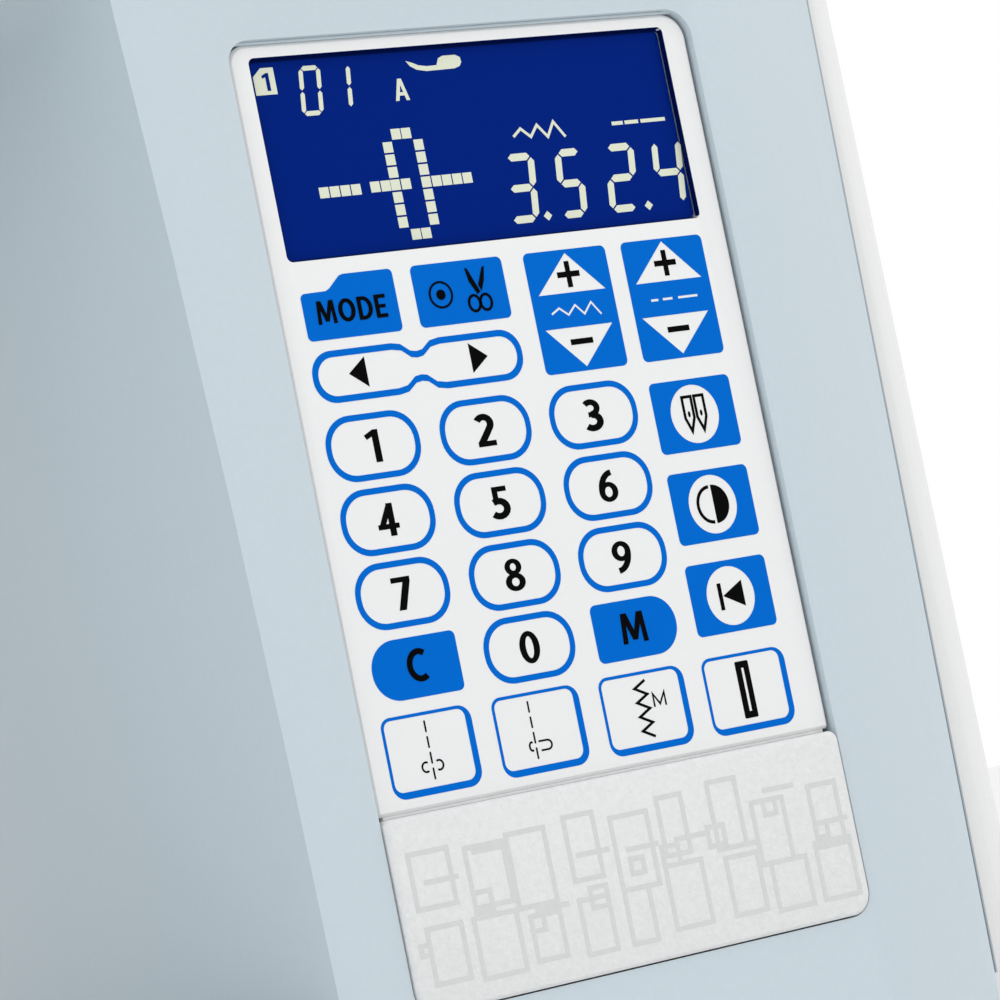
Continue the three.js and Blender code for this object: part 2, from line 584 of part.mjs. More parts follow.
function pulley(centre, bore, steps) {
  const outer = steps.map(([r, from, to]) => rod("x", centre, r, [from, to], 24));
  const ends = steps.flatMap(([, from, to]) => [from, to]);
  return cut(join(...outer), rod("x", centre, bore + FIT, [Math.min(...ends) - 1, Math.max(...ends) + 1]));
}

function beltLoop([from, to], [ya, za, ra], [yb, zb, rb]) {
  const loop = (proud) => {
    const [r1, r2] = [ra + proud, rb + proud];
    const [dy, dz] = [yb - ya, zb - za];
    const heading = Math.atan2(dz, dy);
    const lean = Math.acos((r1 - r2) / Math.hypot(dy, dz));
    const s = new THREE.Shape();
    s.absarc(ya, za, r1, heading + lean, heading - lean + 2 * Math.PI, false);
    s.absarc(yb, zb, r2, heading - lean, heading + lean, false);
    return s;
  };
  return cut(
    prism(loop(FIT + BELT), "x", [from, to], { curve: 8 }),
    prism(loop(FIT), "x", [from - 5, to + 5], { curve: 8 }),
  );
}

function driveMotor() {
  const can = rod("x", [MOTOR_Y, MOTOR_Z], MOTOR_R, [DRIVE_X[0] - 46, DRIVE_X[0] - 4], 24);
  const shaft = rod("x", [MOTOR_Y, MOTOR_Z], 2.5, [DRIVE_X[0] - 5, DRIVE_X[0] - 0.6], 12);
  const flange = box([DRIVE_X[0] - 10, DRIVE_X[0] - 4], [MOTOR_Y - 26, MOTOR_Y + 34], around(MOTOR_Z, 14));
  return join(can, shaft, flange);
}

const [WHEEL_FROM, WHEEL_TO] = [SIDE_X + 1.2, WIDTH / 2];
function handwheel() {
  const body = turned("x", [NEEDLE_Y, SHAFT_Z], [
    [0, WHEEL_TO - 3],
    [17, WHEEL_TO - 3],
    [20, WHEEL_TO],
    [WHEEL_R - 5, WHEEL_TO],
    [WHEEL_R - 1.5, WHEEL_TO - 1.5],
    [WHEEL_R, WHEEL_TO - 5],
    [WHEEL_R, WHEEL_FROM + 3],
    [WHEEL_R - 3, WHEEL_FROM],
    [0, WHEEL_FROM],
  ].reverse(), 36);
  return cut(body, rod("x", [NEEDLE_Y, SHAFT_Z], SHAFT_R + FIT, [WHEEL_FROM - 5, WIDTH / 2 - 6 + FIT]));
}

// ---------------------------------------------------------------- needle, presser and thread path
const needleBar = () => rod("z", [NEEDLE_X, NEEDLE_Y], BAR_R, [CLAMP_Z + 1.4, SHAFT_Z + 25]);

const CLAMP_Z = BED_Z + 42.6;
function needleClamp() {
  const body = rod("z", [NEEDLE_X, NEEDLE_Y], 4.8, [CLAMP_Z, CLAMP_Z + 13.4]);
  const lug = box([NEEDLE_X, NEEDLE_X + 8], [NEEDLE_Y - 3.5, NEEDLE_Y + 3.5], [CLAMP_Z + 2.5, CLAMP_Z + 11]);
  return cut(
    join(body, lug),
    rod("z", [NEEDLE_X, NEEDLE_Y], BAR_R + FIT, [CLAMP_Z + 1, CLAMP_Z + 20]),
    rod("z", [NEEDLE_X, NEEDLE_Y], 1.3, [CLAMP_Z - 5, CLAMP_Z + 5], 12),
  );
}

const clampScrew = () =>
  turned("x", [NEEDLE_Y, CLAMP_Z + 6.8], [
    [0, NEEDLE_X + 8.3],
    [4.2, NEEDLE_X + 8.3],
    [4.2, NEEDLE_X + 15],
    [3.4, NEEDLE_X + 16],
    [0, NEEDLE_X + 16],
  ], 16);

const needle = () =>
  turned("z", [NEEDLE_X, NEEDLE_Y], [
    [0, BED_Z + 16],
    [0.35, BED_Z + 19],
    [0.42, BED_Z + 34],
    [0.95, BED_Z + 36],
    [0.95, CLAMP_Z + 0.7],
    [0, CLAMP_Z + 0.7],
  ], 10);

const TAKE_UP = { x: [NEEDLE_X - 8, NEEDLE_X - 4], y: -18, z: SHAFT_Z - 4 };
function takeUpLever() {
  const tip = HEAD_FRONT - 9;
  const arm = polygon([
    [-14, SHAFT_Z - 8],
    [-14, SHAFT_Z + 2],
    [-40, SHAFT_Z + 7],
    [tip + 11, SHAFT_Z + 23.5],
    [tip + 1, SHAFT_Z + 24],
    [tip, SHAFT_Z + 18],
    [tip + 9, SHAFT_Z + 16.5],
    [-44, SHAFT_Z - 3],
    [-30, SHAFT_Z - 8],
  ]);
  const bored = [NEEDLE_X - 22, NEEDLE_X + 8];
  return cut(
    join(prism(arm, "x", TAKE_UP.x), rod("x", [TAKE_UP.y, TAKE_UP.z], 6.5, TAKE_UP.x)),
    rod("x", [TAKE_UP.y, TAKE_UP.z], 2.5, bored, 12),
    rod("x", [tip + 4.5, SHAFT_Z + 20.8], 1.4, bored, 10),
  );
}

const presserBar = () => rod("z", [NEEDLE_X, PRESSER_Y], BAR_R, [BED_Z + 29, TRAY.floor - 3 - LIFT]);

const FOOT_PIN = { y: 5, z: BED_Z + 8 };
function footHolder() {
  const body = box([NEEDLE_X - 4.5, NEEDLE_X + 4.5], [6, 17], [BED_Z + 10, BED_Z + 28.6]);
  const fork = box([NEEDLE_X - 2.4, NEEDLE_X + 2.4], [2, 9], [BED_Z + 5.5, BED_Z + 11.2]);
  return cut(join(body, fork), rod("x", [FOOT_PIN.y, FOOT_PIN.z], 1.5, [NEEDLE_X - 10, NEEDLE_X + 10], 12));
}

function presserFoot() {
  const sole = prism(
    polygon([
      [-22, BED_Z + 3.5],
      [-20, BED_Z + 2],
      [-16, BED_Z + 1.2],
      [13, BED_Z + 1.2],
      [13, BED_Z + 3],
      [-15, BED_Z + 3],
      [-21, BED_Z + 5],
    ]),
    "x",
    [NEEDLE_X - 10, NEEDLE_X + 10],
  );
  const ear = (x) => box([x, x + 2], [2, 8], [BED_Z + 2.5, BED_Z + 9.6]);
  const pin = rod("x", [FOOT_PIN.y, FOOT_PIN.z], 1, [NEEDLE_X - 6, NEEDLE_X + 6], 12);
  return cut(
    join(sole, ear(NEEDLE_X - 5.2), ear(NEEDLE_X + 3.2), pin),
    prism(roundRect([NEEDLE_X - 4, NEEDLE_X + 4], [-3.5, 1], 1.2), "z", [BED_Z - 4, BED_Z + 6]),
    box([NEEDLE_X - 1.2, NEEDLE_X + 1.2], [-30, -3], [BED_Z - 4, BED_Z + 11]),
  );
}

const LIFTER = { x: NEEDLE_X + 14, z: HEAD_BOTTOM - 8, tilt: (-50 * Math.PI) / 180, length: 42 };
function presserLever() {
  const bar = roundRect([0, LIFTER.length], around(0, 3), 2.9);
  const g = new THREE.ExtrudeGeometry(bar, { depth: 6, bevelEnabled: false });
  g.rotateZ(LIFTER.tilt);
  g.applyMatrix4(new THREE.Matrix4().makeBasis(...AXES.y));
  const arm = solid(g.translate(LIFTER.x, 25, LIFTER.z));
  const hub = rod("y", [LIFTER.x, LIFTER.z], 6, [18.5, 25.5]);
  return cut(join(arm, hub), rod("y", [LIFTER.x, LIFTER.z], 2 + FIT, [10, 30], 16));
}

const TENSION = { y: HEAD_FRONT + 10, r: 15.5, x: [HEAD_RIGHT - 9.5, HEAD_RIGHT - 0.5] };
const tensionDial = () =>
  turned("x", [TENSION.y, SHAFT_Z], [
    [0, TENSION.x[0]],
    [TENSION.r - 1, TENSION.x[0]],
    [TENSION.r, TENSION.x[0] + 1],
    [TENSION.r, TENSION.x[1] - 1],
    [TENSION.r - 1, TENSION.x[1]],
    [0, TENSION.x[1]],
  ], 32);

const LAMP = { x: [NEEDLE_X + 14, NEEDLE_X + 30], y: [-44, -22] };
function needleLamp() {
  return join(
    pad(LAMP.x, LAMP.y, [HEAD_BOTTOM - 1.5, HEAD_BOTTOM + 2], 3),
    box(grow(LAMP.x, -2), grow(LAMP.y, -2), [HEAD_BOTTOM + 1, HEAD_BOTTOM + 4]),
    box(grow(LAMP.x, 2), grow(LAMP.y, 2), [HEAD_BOTTOM + WALL + FIT, HEAD_BOTTOM + 5]),
  );
}

// ---------------------------------------------------------------- plate, hook and feed
const COVER = { x: [NEEDLE_X - 16, NEEDLE_X + 22], y: [-35.5, -10] };
const RELEASE = { x: [NEEDLE_X + 25, NEEDLE_X + 30], y: [-29, -19] };
const FEED_RAIL = 6.2; // either side of the needle
function needlePlate() {
  const through = [BED_Z - 14, BED_Z + 6];
  const [x, y] = [
    [PLATE.left, PLATE.right],
    [PLATE.front, PLATE.back],
  ];
  const slot = (centre) => pad(around(centre, 1.9), [-8, 15], through, 1.2);
  return cut(
    pad(grow(x, -FIT), grow(y, -FIT), [BED_Z - PLATE.thick, BED_Z], 2.7),
    pad(grow(COVER.x, FIT), grow(COVER.y, FIT), through, 3),
    slot(NEEDLE_X - FEED_RAIL),
    slot(NEEDLE_X + FEED_RAIL),
    pad(around(NEEDLE_X, 3.2), around(NEEDLE_Y, 1), through, 0.95),
    box([RELEASE.x[0] - FIT, RELEASE.x[1] + 2.5], grow(RELEASE.y, FIT), through),
  );
}

const bobbinCover = () => pad(COVER.x, COVER.y, [BED_Z - 2.3, BED_Z - 0.2], 2.7);
const coverRelease = () => box(RELEASE.x, RELEASE.y, [BED_Z - 4, BED_Z + 0.6]);

function rotaryHook() {
  const bar = (r, from, to, sides) => rod("z", [NEEDLE_X, HOOK_Y], r, [HOOK_Z + from, HOOK_Z + to], sides);
  return cut(
    join(bar(17, -18, 0, 32), bar(4.2, -37, -17, 16), bar(7.7, -33, -21, 24)),
    bar(15.6, -16, 10, 32),
    bar(2.4 + FIT, -40, -21.4, 16),
  );
}

const bobbinCase = () =>
  cut(
    rod("z", [NEEDLE_X, HOOK_Y], 15.2, [HOOK_Z - 15.4, HOOK_Z + 2], 32),
    rod("z", [NEEDLE_X, HOOK_Y], 11.4, [HOOK_Z - 13.4, HOOK_Z + 20], 24),
  );

const bobbin = () =>
  cut(
    join(
      rod("z", [NEEDLE_X, HOOK_Y], 10.3, [HOOK_Z - 12.8, HOOK_Z - 11.6], 24),
      rod("z", [NEEDLE_X, HOOK_Y], 6.5, [HOOK_Z - 12, HOOK_Z - 2]),
      rod("z", [NEEDLE_X, HOOK_Y], 10.3, [HOOK_Z - 2.4, HOOK_Z - 1.2], 24),
    ),
    rod("z", [NEEDLE_X, HOOK_Y], 3.2, [HOOK_Z - 20, HOOK_Z + 10], 16),
  );

function feedDog() {
  const rail = (x) => box([x - 1.2, x + 1.2], [-5.2, 12.2], [BED_Z - 7, BED_Z + 0.6]);
  const block = box([NEEDLE_X - 7, NEEDLE_X + 7], [6, 12], [BED_Z - 14, BED_Z - 4]);
  return join(rail(NEEDLE_X - FEED_RAIL), rail(NEEDLE_X + FEED_RAIL), block);
}

// ---------------------------------------------------------------- controls
const BUTTON_Z = HEAD_BOTTOM + 19;
const BUTTONS = [
  { name: "start_button", x: NEEDLE_X - 36, r: 8 },
  { name: "reverse_button", x: NEEDLE_X - 17, r: 6 },
  { name: "needle_button", x: NEEDLE_X - 2, r: 6 },
  { name: "lock_button", x: NEEDLE_X + 13, r: 6 },
  { name: "cutter_button", x: NEEDLE_X + 28, r: 6 },
];
const button = ({ x, r }) =>
  turned("y", [x, BUTTON_Z], [
    [0, HEAD_FRONT - 2.4],
    [r - 1.6, HEAD_FRONT - 2.4],
    [r - 0.5, HEAD_FRONT - 1.9],
    [r, HEAD_FRONT - 0.8],
    [r, HEAD_FRONT + WALL + FIT],
    [r + 1.4, HEAD_FRONT + WALL + FIT],
    [r + 1.4, HEAD_FRONT + WALL + 1.6],
    [0, HEAD_FRONT + WALL + 1.6],
  ], 20);

const SLIDER = { x: [NEEDLE_X - 35.5, NEEDLE_X - 23.5], z: HEAD_BOTTOM + 42, travel: 28 };
function speedSlider() {
  const outline = roundRect(SLIDER.x, around(SLIDER.z, 6), 2.5);
  const knob = prism(outline, "y", [HEAD_FRONT - 4, HEAD_FRONT - FIT], { bevel: 0.8, steps: 1 });
  const stem = box(grow(SLIDER.x, -3), [HEAD_FRONT - 1, HEAD_FRONT + 6], around(SLIDER.z, 1.6));
  return join(knob, stem);
}

const INLET = { y: [22, 48], z: [BED_Z - 22, BED_Z - 4] };
const JACK = { y: [-6, 10], z: [BED_Z - 21, BED_Z - 5] };
const SWITCH = { y: [22, 48], z: [BED_Z + 8, BED_Z + 26] };
function socket({ y, z }, [dy, dz], depth) {
  const face = SIDE_X;
  const flange = (proud, x) => prism(roundRect(grow(y, proud - FIT), grow(z, proud - FIT), 2.7), "x", x);
  const mouth = roundRect(around(middle(y), dy / 2), around(middle(z), dz / 2), 2);
  return cut(
    join(flange(0, [face - 14, face + 0.2]), flange(2, [face - 12, face - 5])),
    prism(mouth, "x", [face - depth, face + 5]),
  );
}

const SWITCH_AXIS = { x: SIDE_X - 3, z: middle(SWITCH.z) };
function powerSwitch() {
  const { x, z } = SWITCH_AXIS;
  const rocker = polygon([
    [x - 5, z - 6],
    [x + 3.4, z - 7.6],
    [x + 2.6, z],
    [x + 5.2, z + 7.3],
    [x - 5, z + 6],
  ]);
  return prism(rocker, "y", [SWITCH.y[0] + 2, SWITCH.y[1] - 2]);
}

// ---------------------------------------------------------------- handle, spool pin and winder
const HANDLE_X = [NEEDLE_X + 40, PILLAR_LEFT + 21];
const HANDLE_LEG = 13;
const HANDLE_Y = BACK_Y - 34;
const HANDLE_Z = TOP_Z + 8;
function carryHandle() {
  const [x0, x1] = HANDLE_X;
  const [y, z] = [[HANDLE_Y - 6, BACK_Y - 2], [HANDLE_Z - 5.5, HANDLE_Z + 6.7]];
  const slab = pad(HANDLE_X, y, z, 6, { bevel: 2, steps: 1 });
  const gap = pad(grow(HANDLE_X, -HANDLE_LEG), [HANDLE_Y - 20, BACK_Y - 17], [TOP_Z - 10, TOP_Z + 30], 3);
  const bores = rod("x", [HANDLE_Y, HANDLE_Z], 2.6 + FIT, [x0 + 3, x1 - 3], 16);
  return cut(slab, gap, bores);
}

const SPOOL = { y: middle(TROUGH.y), z: TOP_Z - 16, x: [TROUGH.x[0] + 6, TROUGH.x[1] - 0.5] };
function spoolPin() {
  return join(
    rod("x", [SPOOL.y, SPOOL.z], 2.8, SPOOL.x),
    rod("x", [SPOOL.y, SPOOL.z], 6, [SPOOL.x[1] - 5.5, SPOOL.x[1]]),
    box([SPOOL.x[1] - 7.5, SPOOL.x[1]], [SPOOL.y - 5, SPOOL.y + 5], [TRAY.trough + FIT, SPOOL.z]),
  );
}

const WINDER = { x: TROUGH.x[1] + 22, y: middle(TROUGH.y) };
const winderSpindle = () =>
  turned("z", [WINDER.x, WINDER.y], [
    [0, TRAY.floor + 1.8],
    [2.6, TRAY.floor + 1.8],
    [2.6, TRAY.floor + 4.4],
    [9, TRAY.floor + 4.4],
    [9, TRAY.floor + 5.8],
    [3.2, TRAY.floor + 6.4],
    [2.9, TOP_Z - 3],
    [2, TOP_Z - 1.5],
    [0, TOP_Z - 1.5],
  ], 20);

function winderCarrier() {
  const { x, y } = WINDER;
  const z = [TRAY.floor + FIT, TRAY.floor + 4];
  const cap = pad(around(x, 13), around(y, 10), z, 6, { bevel: 0.8, steps: 1 });
  return cut(cap, rod("z", [x, y], 2.6 + FIT, [TRAY.floor + 1.5, TRAY.floor + 9], 20));
}

const controlBoard = () =>
  box([PILLAR_LEFT + 15, SIDE_X - 26.4], [BACK_Y - 14, BACK_Y - 12.4], [BED_Z - 14, ARM_BOTTOM - 20]);

// ---------------------------------------------------------------- assembly
const machine = new THREE.Group();
const pieces = [
  ["base_pan", WHITE, basePan()],
  ["free_arm_cover", WHITE, freeArmCover()],
  ["front_cover", BLUE_GREY, frontCover()],
  ["rear_cover", WHITE, rearCover()],
  ["side_cover", WHITE, sideCover()],
  ["face_cover", WHITE, faceCover()],
  ["top_tray", SOFT_WHITE, topTray()],
  ["control_panel", WHITE, controlPanel()],
  ["trim_plate", SOFT_WHITE, trimPlate()],
  ["lcd_module", GLASS, lcdModule()],
  ["keypad_board", BOARD, keypadBoard()],
  ["control_board", BOARD, controlBoard()],
  ["main_frame", CASTING, mainFrame()],
  ["drive_motor", GREY, driveMotor()],
  ["motor_pulley", STEEL, pulley([MOTOR_Y, MOTOR_Z], -FIT, [[MOTOR_PULLEY_R, ...DRIVE_X]])],
  ["drive_belt", RUBBER, beltLoop(DRIVE_X, [NEEDLE_Y, SHAFT_Z, DRIVE_R], [MOTOR_Y, MOTOR_Z, MOTOR_PULLEY_R])],
  ["timing_belt", RUBBER, beltLoop(TIMING_X, [NEEDLE_Y, SHAFT_Z, TIMING_R], [LOWER_Y, LOWER_Z, TIMING_R])],
  ["arm_shaft", STEEL, armShaft()],
  ["arm_pulley", GREY, pulley([NEEDLE_Y, SHAFT_Z], SHAFT_R, [
    [DRIVE_R, ...DRIVE_X],
    [9, DRIVE_X[1] - 1, TIMING_X[0] + 1],
    [TIMING_R, ...TIMING_X],
  ])],
  ["needle_crank", STEEL, needleCrank()],
  ["handwheel", WHITE, handwheel()],
  ["lower_shaft", STEEL, lowerShaft()],
  ["lower_pulley", GREY, pulley([LOWER_Y, LOWER_Z], LOWER_R, [[TIMING_R, ...TIMING_X]])],
  ["rotary_hook", CHROME, rotaryHook()],
  ["bobbin_case", DARK, bobbinCase()],
  ["bobbin", CLEAR, bobbin()],
  ["feed_dog", STEEL, feedDog()],
  ["needle_plate", STEEL, needlePlate()],
  ["bobbin_cover", CLEAR, bobbinCover()],
  ["cover_release", DARK, coverRelease()],
  ["needle_bar", CHROME, needleBar()],
  ["needle_clamp", STEEL, needleClamp()],
  ["clamp_screw", STEEL, clampScrew()],
  ["needle", CHROME, needle()],
  ["take_up_lever", CHROME, takeUpLever()],
  ["presser_bar", CHROME, presserBar()],
  ["foot_holder", STEEL, footHolder()],
  ["presser_foot", CHROME, presserFoot()],
  ["presser_lever", DARK, presserLever()],
  ["tension_dial", SOFT_WHITE, tensionDial()],
  ["needle_lamp", CLEAR, needleLamp()],
  ["speed_slider", SOFT_WHITE, speedSlider()],
  ["power_inlet", DARK, socket(INLET, [17, 9], 10)],
  ["pedal_jack", DARK, socket(JACK, [10, 8], 9)],
  ["power_switch", DARK, powerSwitch()],
  ["top_lid", WHITE, topLid()],
  ["carry_handle", WHITE, carryHandle()],
  ["spool_pin", SOFT_WHITE, spoolPin()],
  ["winder_spindle", SOFT_WHITE, winderSpindle()],
  ["winder_carrier", GREY, winderCarrier()],
  ["extension_table", WHITE, extensionTable()],
];
for (const spec of BUTTONS) pieces.push([spec.name, SOFT_WHITE, button(spec)]);
const FEET = [
  [ARM_LEFT + 20, 14 - ARM_HALF],
  [ARM_LEFT + 20, ARM_HALF - 14],
  [SIDE_X - 16, PILLAR_FRONT + 20],
  [SIDE_X - 16, BACK_Y - 16],
];
FEET.forEach((place, i) => pieces.push([`rubber_foot_${i + 1}`, RUBBER, foot(place)]));
for (const [name, material, shape] of pieces) machine.add(mesh(name, material, shape));

export default machine;
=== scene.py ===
"""Finishes, printed keypad, display and small fittings of a free-arm sewing machine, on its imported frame."""

import json
import math
import random

import bpy
from mathutils import Matrix, Vector


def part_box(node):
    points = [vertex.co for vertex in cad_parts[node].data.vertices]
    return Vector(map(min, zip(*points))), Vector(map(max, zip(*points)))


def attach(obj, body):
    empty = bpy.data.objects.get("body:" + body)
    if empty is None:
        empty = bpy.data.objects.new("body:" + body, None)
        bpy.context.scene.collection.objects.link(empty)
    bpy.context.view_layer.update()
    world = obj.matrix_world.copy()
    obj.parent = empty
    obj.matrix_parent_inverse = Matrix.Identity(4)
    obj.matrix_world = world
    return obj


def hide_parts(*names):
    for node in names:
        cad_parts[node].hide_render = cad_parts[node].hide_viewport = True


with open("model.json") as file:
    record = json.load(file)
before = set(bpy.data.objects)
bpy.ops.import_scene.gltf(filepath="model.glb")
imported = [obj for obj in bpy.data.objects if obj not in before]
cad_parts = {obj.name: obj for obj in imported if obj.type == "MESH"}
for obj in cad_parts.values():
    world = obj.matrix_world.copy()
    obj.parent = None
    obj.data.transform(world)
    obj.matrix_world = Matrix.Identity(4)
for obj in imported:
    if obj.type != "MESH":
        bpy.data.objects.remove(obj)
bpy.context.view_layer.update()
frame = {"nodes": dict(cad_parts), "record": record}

bl_info = {
    "name": "Sewing Machine Finishes",
    "version": (1, 0, 0),
    "blender": (4, 5, 0),
    "location": "3D View > Sidebar > Sewing",
    "description": "Covers, printed keypad, display, controls and fittings of a sewing machine",
    "category": "Object",
}

MM = 0.001
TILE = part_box("control_panel")  # keypad tile: lowest and highest corners
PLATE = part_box("trim_plate")
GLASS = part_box("lcd_module")
TILE_STEPS = 70.467  # width of the keypad tile in steps of the printed grid
GRID_LEAD = 0.741  # the grid starts this many steps left of the tile
UNIT = (TILE[1].x - TILE[0].x) / TILE_STEPS
CORNER = Vector((TILE[0].x - GRID_LEAD * UNIT, TILE[0].y, TILE[1].z))  # where the grid starts, on the tile's face
PRINT = 0.03 * MM  # thickness of printed ink
WELD = 0.002 * MM  # corners closer than this are one
SEAM_FOOT = Vector((171.9, -77.75, 71.0)) * MM  # middle of the gap between front and side cover
SEAM_HEAD = Vector((176.5, -76.6, 280.0)) * MM
FACING_FRONT = (90, 0, 0)  # turns of a flat sheet, in degrees
LYING = (0, 0, 0)


# --- settings
def tint(name, description, default):
    """A colour that can be set."""
    return bpy.props.FloatVectorProperty(
        name=name, description=description, subtype="COLOR", size=3, default=default
    )


def amount(name, description, default, **more):
    """A number that can be set."""
    return bpy.props.FloatProperty(name=name, description=description, default=default, **more)


class SEWING_PG_finish(bpy.types.PropertyGroup):
    """Colours and surfaces of the machine"""

    blue_grey: tint("Front cover", "Colour of the front cover", (0.54, 0.615, 0.66))
    white: tint("White covers", "Colour of the white covers", (0.77, 0.772, 0.768))
    tile: tint("Keypad tile", "Colour of the keypad film", (0.79, 0.79, 0.788))
    plate: tint("Trim plate", "Colour of the trim plate", (0.742, 0.742, 0.74))
    ink_blue: tint("Key blue", "Blue ink of the keys", (0.0, 0.132, 0.575))
    display: tint("Display", "Colour of the lit display", (0.0, 0.0135, 0.17))
    segment: tint("Segments", "Colour of the display's segments", (0.63, 0.66, 0.53))
    grain: amount("Grain", "Size of the moulded grain", 0.45 * MM, unit="LENGTH", min=0.0001)


class SEWING_PG_keypad(bpy.types.PropertyGroup):
    """Sizes of the printed keypad, in steps of its grid"""

    line: amount("Line", "Width of a key's outline", 0.8, min=0.1)
    key_width: amount("Key width", "Width of a number key", 13.75, min=5)
    key_height: amount("Key height", "Height of a number key", 8.5, min=3)
    digit: amount("Digit", "Height of a key's digit", 4.2, min=1)
    seed: bpy.props.IntProperty(name="Pattern", description="Seed of the trim plate's line pattern", default=2084)


class SEWING_PG_stage(bpy.types.PropertyGroup):
    """Camera and light"""

    lens: amount("Lens", "Focal length", 137.95, subtype="DISTANCE_CAMERA", min=10)
    sky: amount("Sky", "Strength of the white surroundings", 1.0, min=0)
    key_light: amount("Key light", "Power of the key light", 5.0, unit="POWER")
    floor: tint("Floor", "Colour of the floor", (0.9, 0.9, 0.9))


# --- materials
def node_material(name, colour, roughness, metallic=0.0):
    """A material with a Principled shader; returns it with its tree and shader."""
    made = bpy.data.materials.new(name)
    made.use_nodes = True
    tree = made.node_tree
    shader = tree.nodes["Principled BSDF"]
    shader.inputs["Base Color"].default_value = (*colour, 1.0)
    shader.inputs["Roughness"].default_value = roughness
    shader.inputs["Metallic"].default_value = metallic
    return made, tree, shader


def add_node(tree, kind, **values):
    """Adds a shader node and sets its inputs by name."""
    made = tree.nodes.new("ShaderNode" + kind)
    for name, value in values.items():
        made.inputs[name].default_value = value
    return made


def wire(tree, source, output, target, entry):
    """Joins an output of one shader node to an input of another."""
    tree.links.new(source.outputs[output], target.inputs[entry])


def grain(tree, shader, size, strength):
    """Fine moulded grain as a bump."""
    place = add_node(tree, "TexCoord")
    noise = add_node(tree, "TexNoise", Scale=1.0 / size, Detail=3.0, Roughness=0.6)
    bump = add_node(tree, "Bump", Strength=strength, Distance=size * 0.25)
    wire(tree, place, "Object", noise, "Vector")
    wire(tree, noise, "Fac", bump, "Height")
    wire(tree, bump, "Normal", shader, "Normal")
    return place, noise


def speckle(tree, shader, place, colour, size, depth):
    """Colour varies a little from grain to grain and over a hand's width."""
    fine_share, broad_share = 0.7, 0.3
    fine = add_node(tree, "TexNoise", Scale=1.0 / size, Detail=2.0)
    broad = add_node(tree, "TexNoise", Scale=14.0)
    both = add_node(tree, "Math")
    both.operation = "MULTIPLY_ADD"
    both.inputs[1].default_value = fine_share
    ramp = add_node(tree, "ValToRGB")
    for stop, place_on_ramp, shift in zip(ramp.color_ramp.elements, (0.35, 0.75), (1 - depth, 1 + depth)):
        stop.position = place_on_ramp
        stop.color = (*[min(1, c * shift) for c in colour], 1)
    scaled = add_node(tree, "Math")
    scaled.operation = "MULTIPLY"
    scaled.inputs[1].default_value = broad_share
    wire(tree, place, "Object", fine, "Vector")
    wire(tree, place, "Object", broad, "Vector")
    wire(tree, broad, "Fac", scaled, 0)
    wire(tree, fine, "Fac", both, 0)
    wire(tree, scaled, 0, both, 2)
    wire(tree, both, 0, ramp, "Fac")
    wire(tree, ramp, "Color", shader, "Base Color")


def uneven_gloss(tree, shader, noise, low, high):
    """Roughness follows the grain between two values."""
    span = add_node(tree, "MapRange", **{"To Min": low, "To Max": high})
    wire(tree, noise, "Fac", span, "Value")
    wire(tree, span, "Result", shader, "Roughness")


def moulded(name, colour, roughness=0.42, size=0.45 * MM, bump=0.12, depth=0.012):
    """Injection-moulded plastic with a fine spark-eroded grain."""
    made, tree, shader = node_material(name, colour, roughness)
    place, noise = grain(tree, shader, size, bump)
    speckle(tree, shader, place, colour, size * 1.7, depth)
    uneven_gloss(tree, shader, noise, roughness - 0.06, roughness + 0.08)
    return made


def ink(name, colour, roughness=0.42):
    """Screen-printed ink with the film's faint texture."""
    made, tree, shader = node_material(name, colour, roughness)
    shader.inputs["Specular IOR Level"].default_value = 0.02
    place, noise = grain(tree, shader, 0.25 * MM, 0.05)
    uneven_gloss(tree, shader, noise, roughness - 0.04, roughness + 0.05)
    return made


def turned_metal(name, colour, roughness, streak=220.0, strength=0.08):
    """Ground or plated steel with fine tool marks."""
    made, tree, shader = node_material(name, colour, roughness, 1.0)
    place = add_node(tree, "TexCoord")
    stretch = add_node(tree, "Mapping", Scale=(streak, streak, streak * 14))
    noise = add_node(tree, "TexNoise", Scale=1.0, Detail=4.0)
    bump = add_node(tree, "Bump", Strength=strength, Distance=0.05 * MM)
    wire(tree, place, "Object", stretch, "Vector")
    wire(tree, stretch, "Vector", noise, "Vector")
    wire(tree, noise, "Fac", bump, "Height")
    wire(tree, bump, "Normal", shader, "Normal")
    uneven_gloss(tree, shader, noise, max(0.03, roughness - 0.06), roughness + 0.1)
    return made


def clear_plastic(name, colour):
    """Smoky clear polycarbonate."""
    made, tree, shader = node_material(name, colour, 0.08)
    shader.inputs["Transmission Weight"].default_value = 0.75
    shader.inputs["IOR"].default_value = 1.58
    place, noise = grain(tree, shader, 2 * MM, 0.02)
    uneven_gloss(tree, shader, noise, 0.04, 0.12)
    return made


def lit_film(name, colour, strength):
    """Part of the back-lit display: ink that glows a little."""
    made = ink(name, colour, 0.32)
    shader = made.node_tree.nodes["Principled BSDF"]
    shader.inputs["Emission Color"].default_value = (*colour, 1.0)
    shader.inputs["Emission Strength"].default_value = strength
    return made


MATERIALS = {}


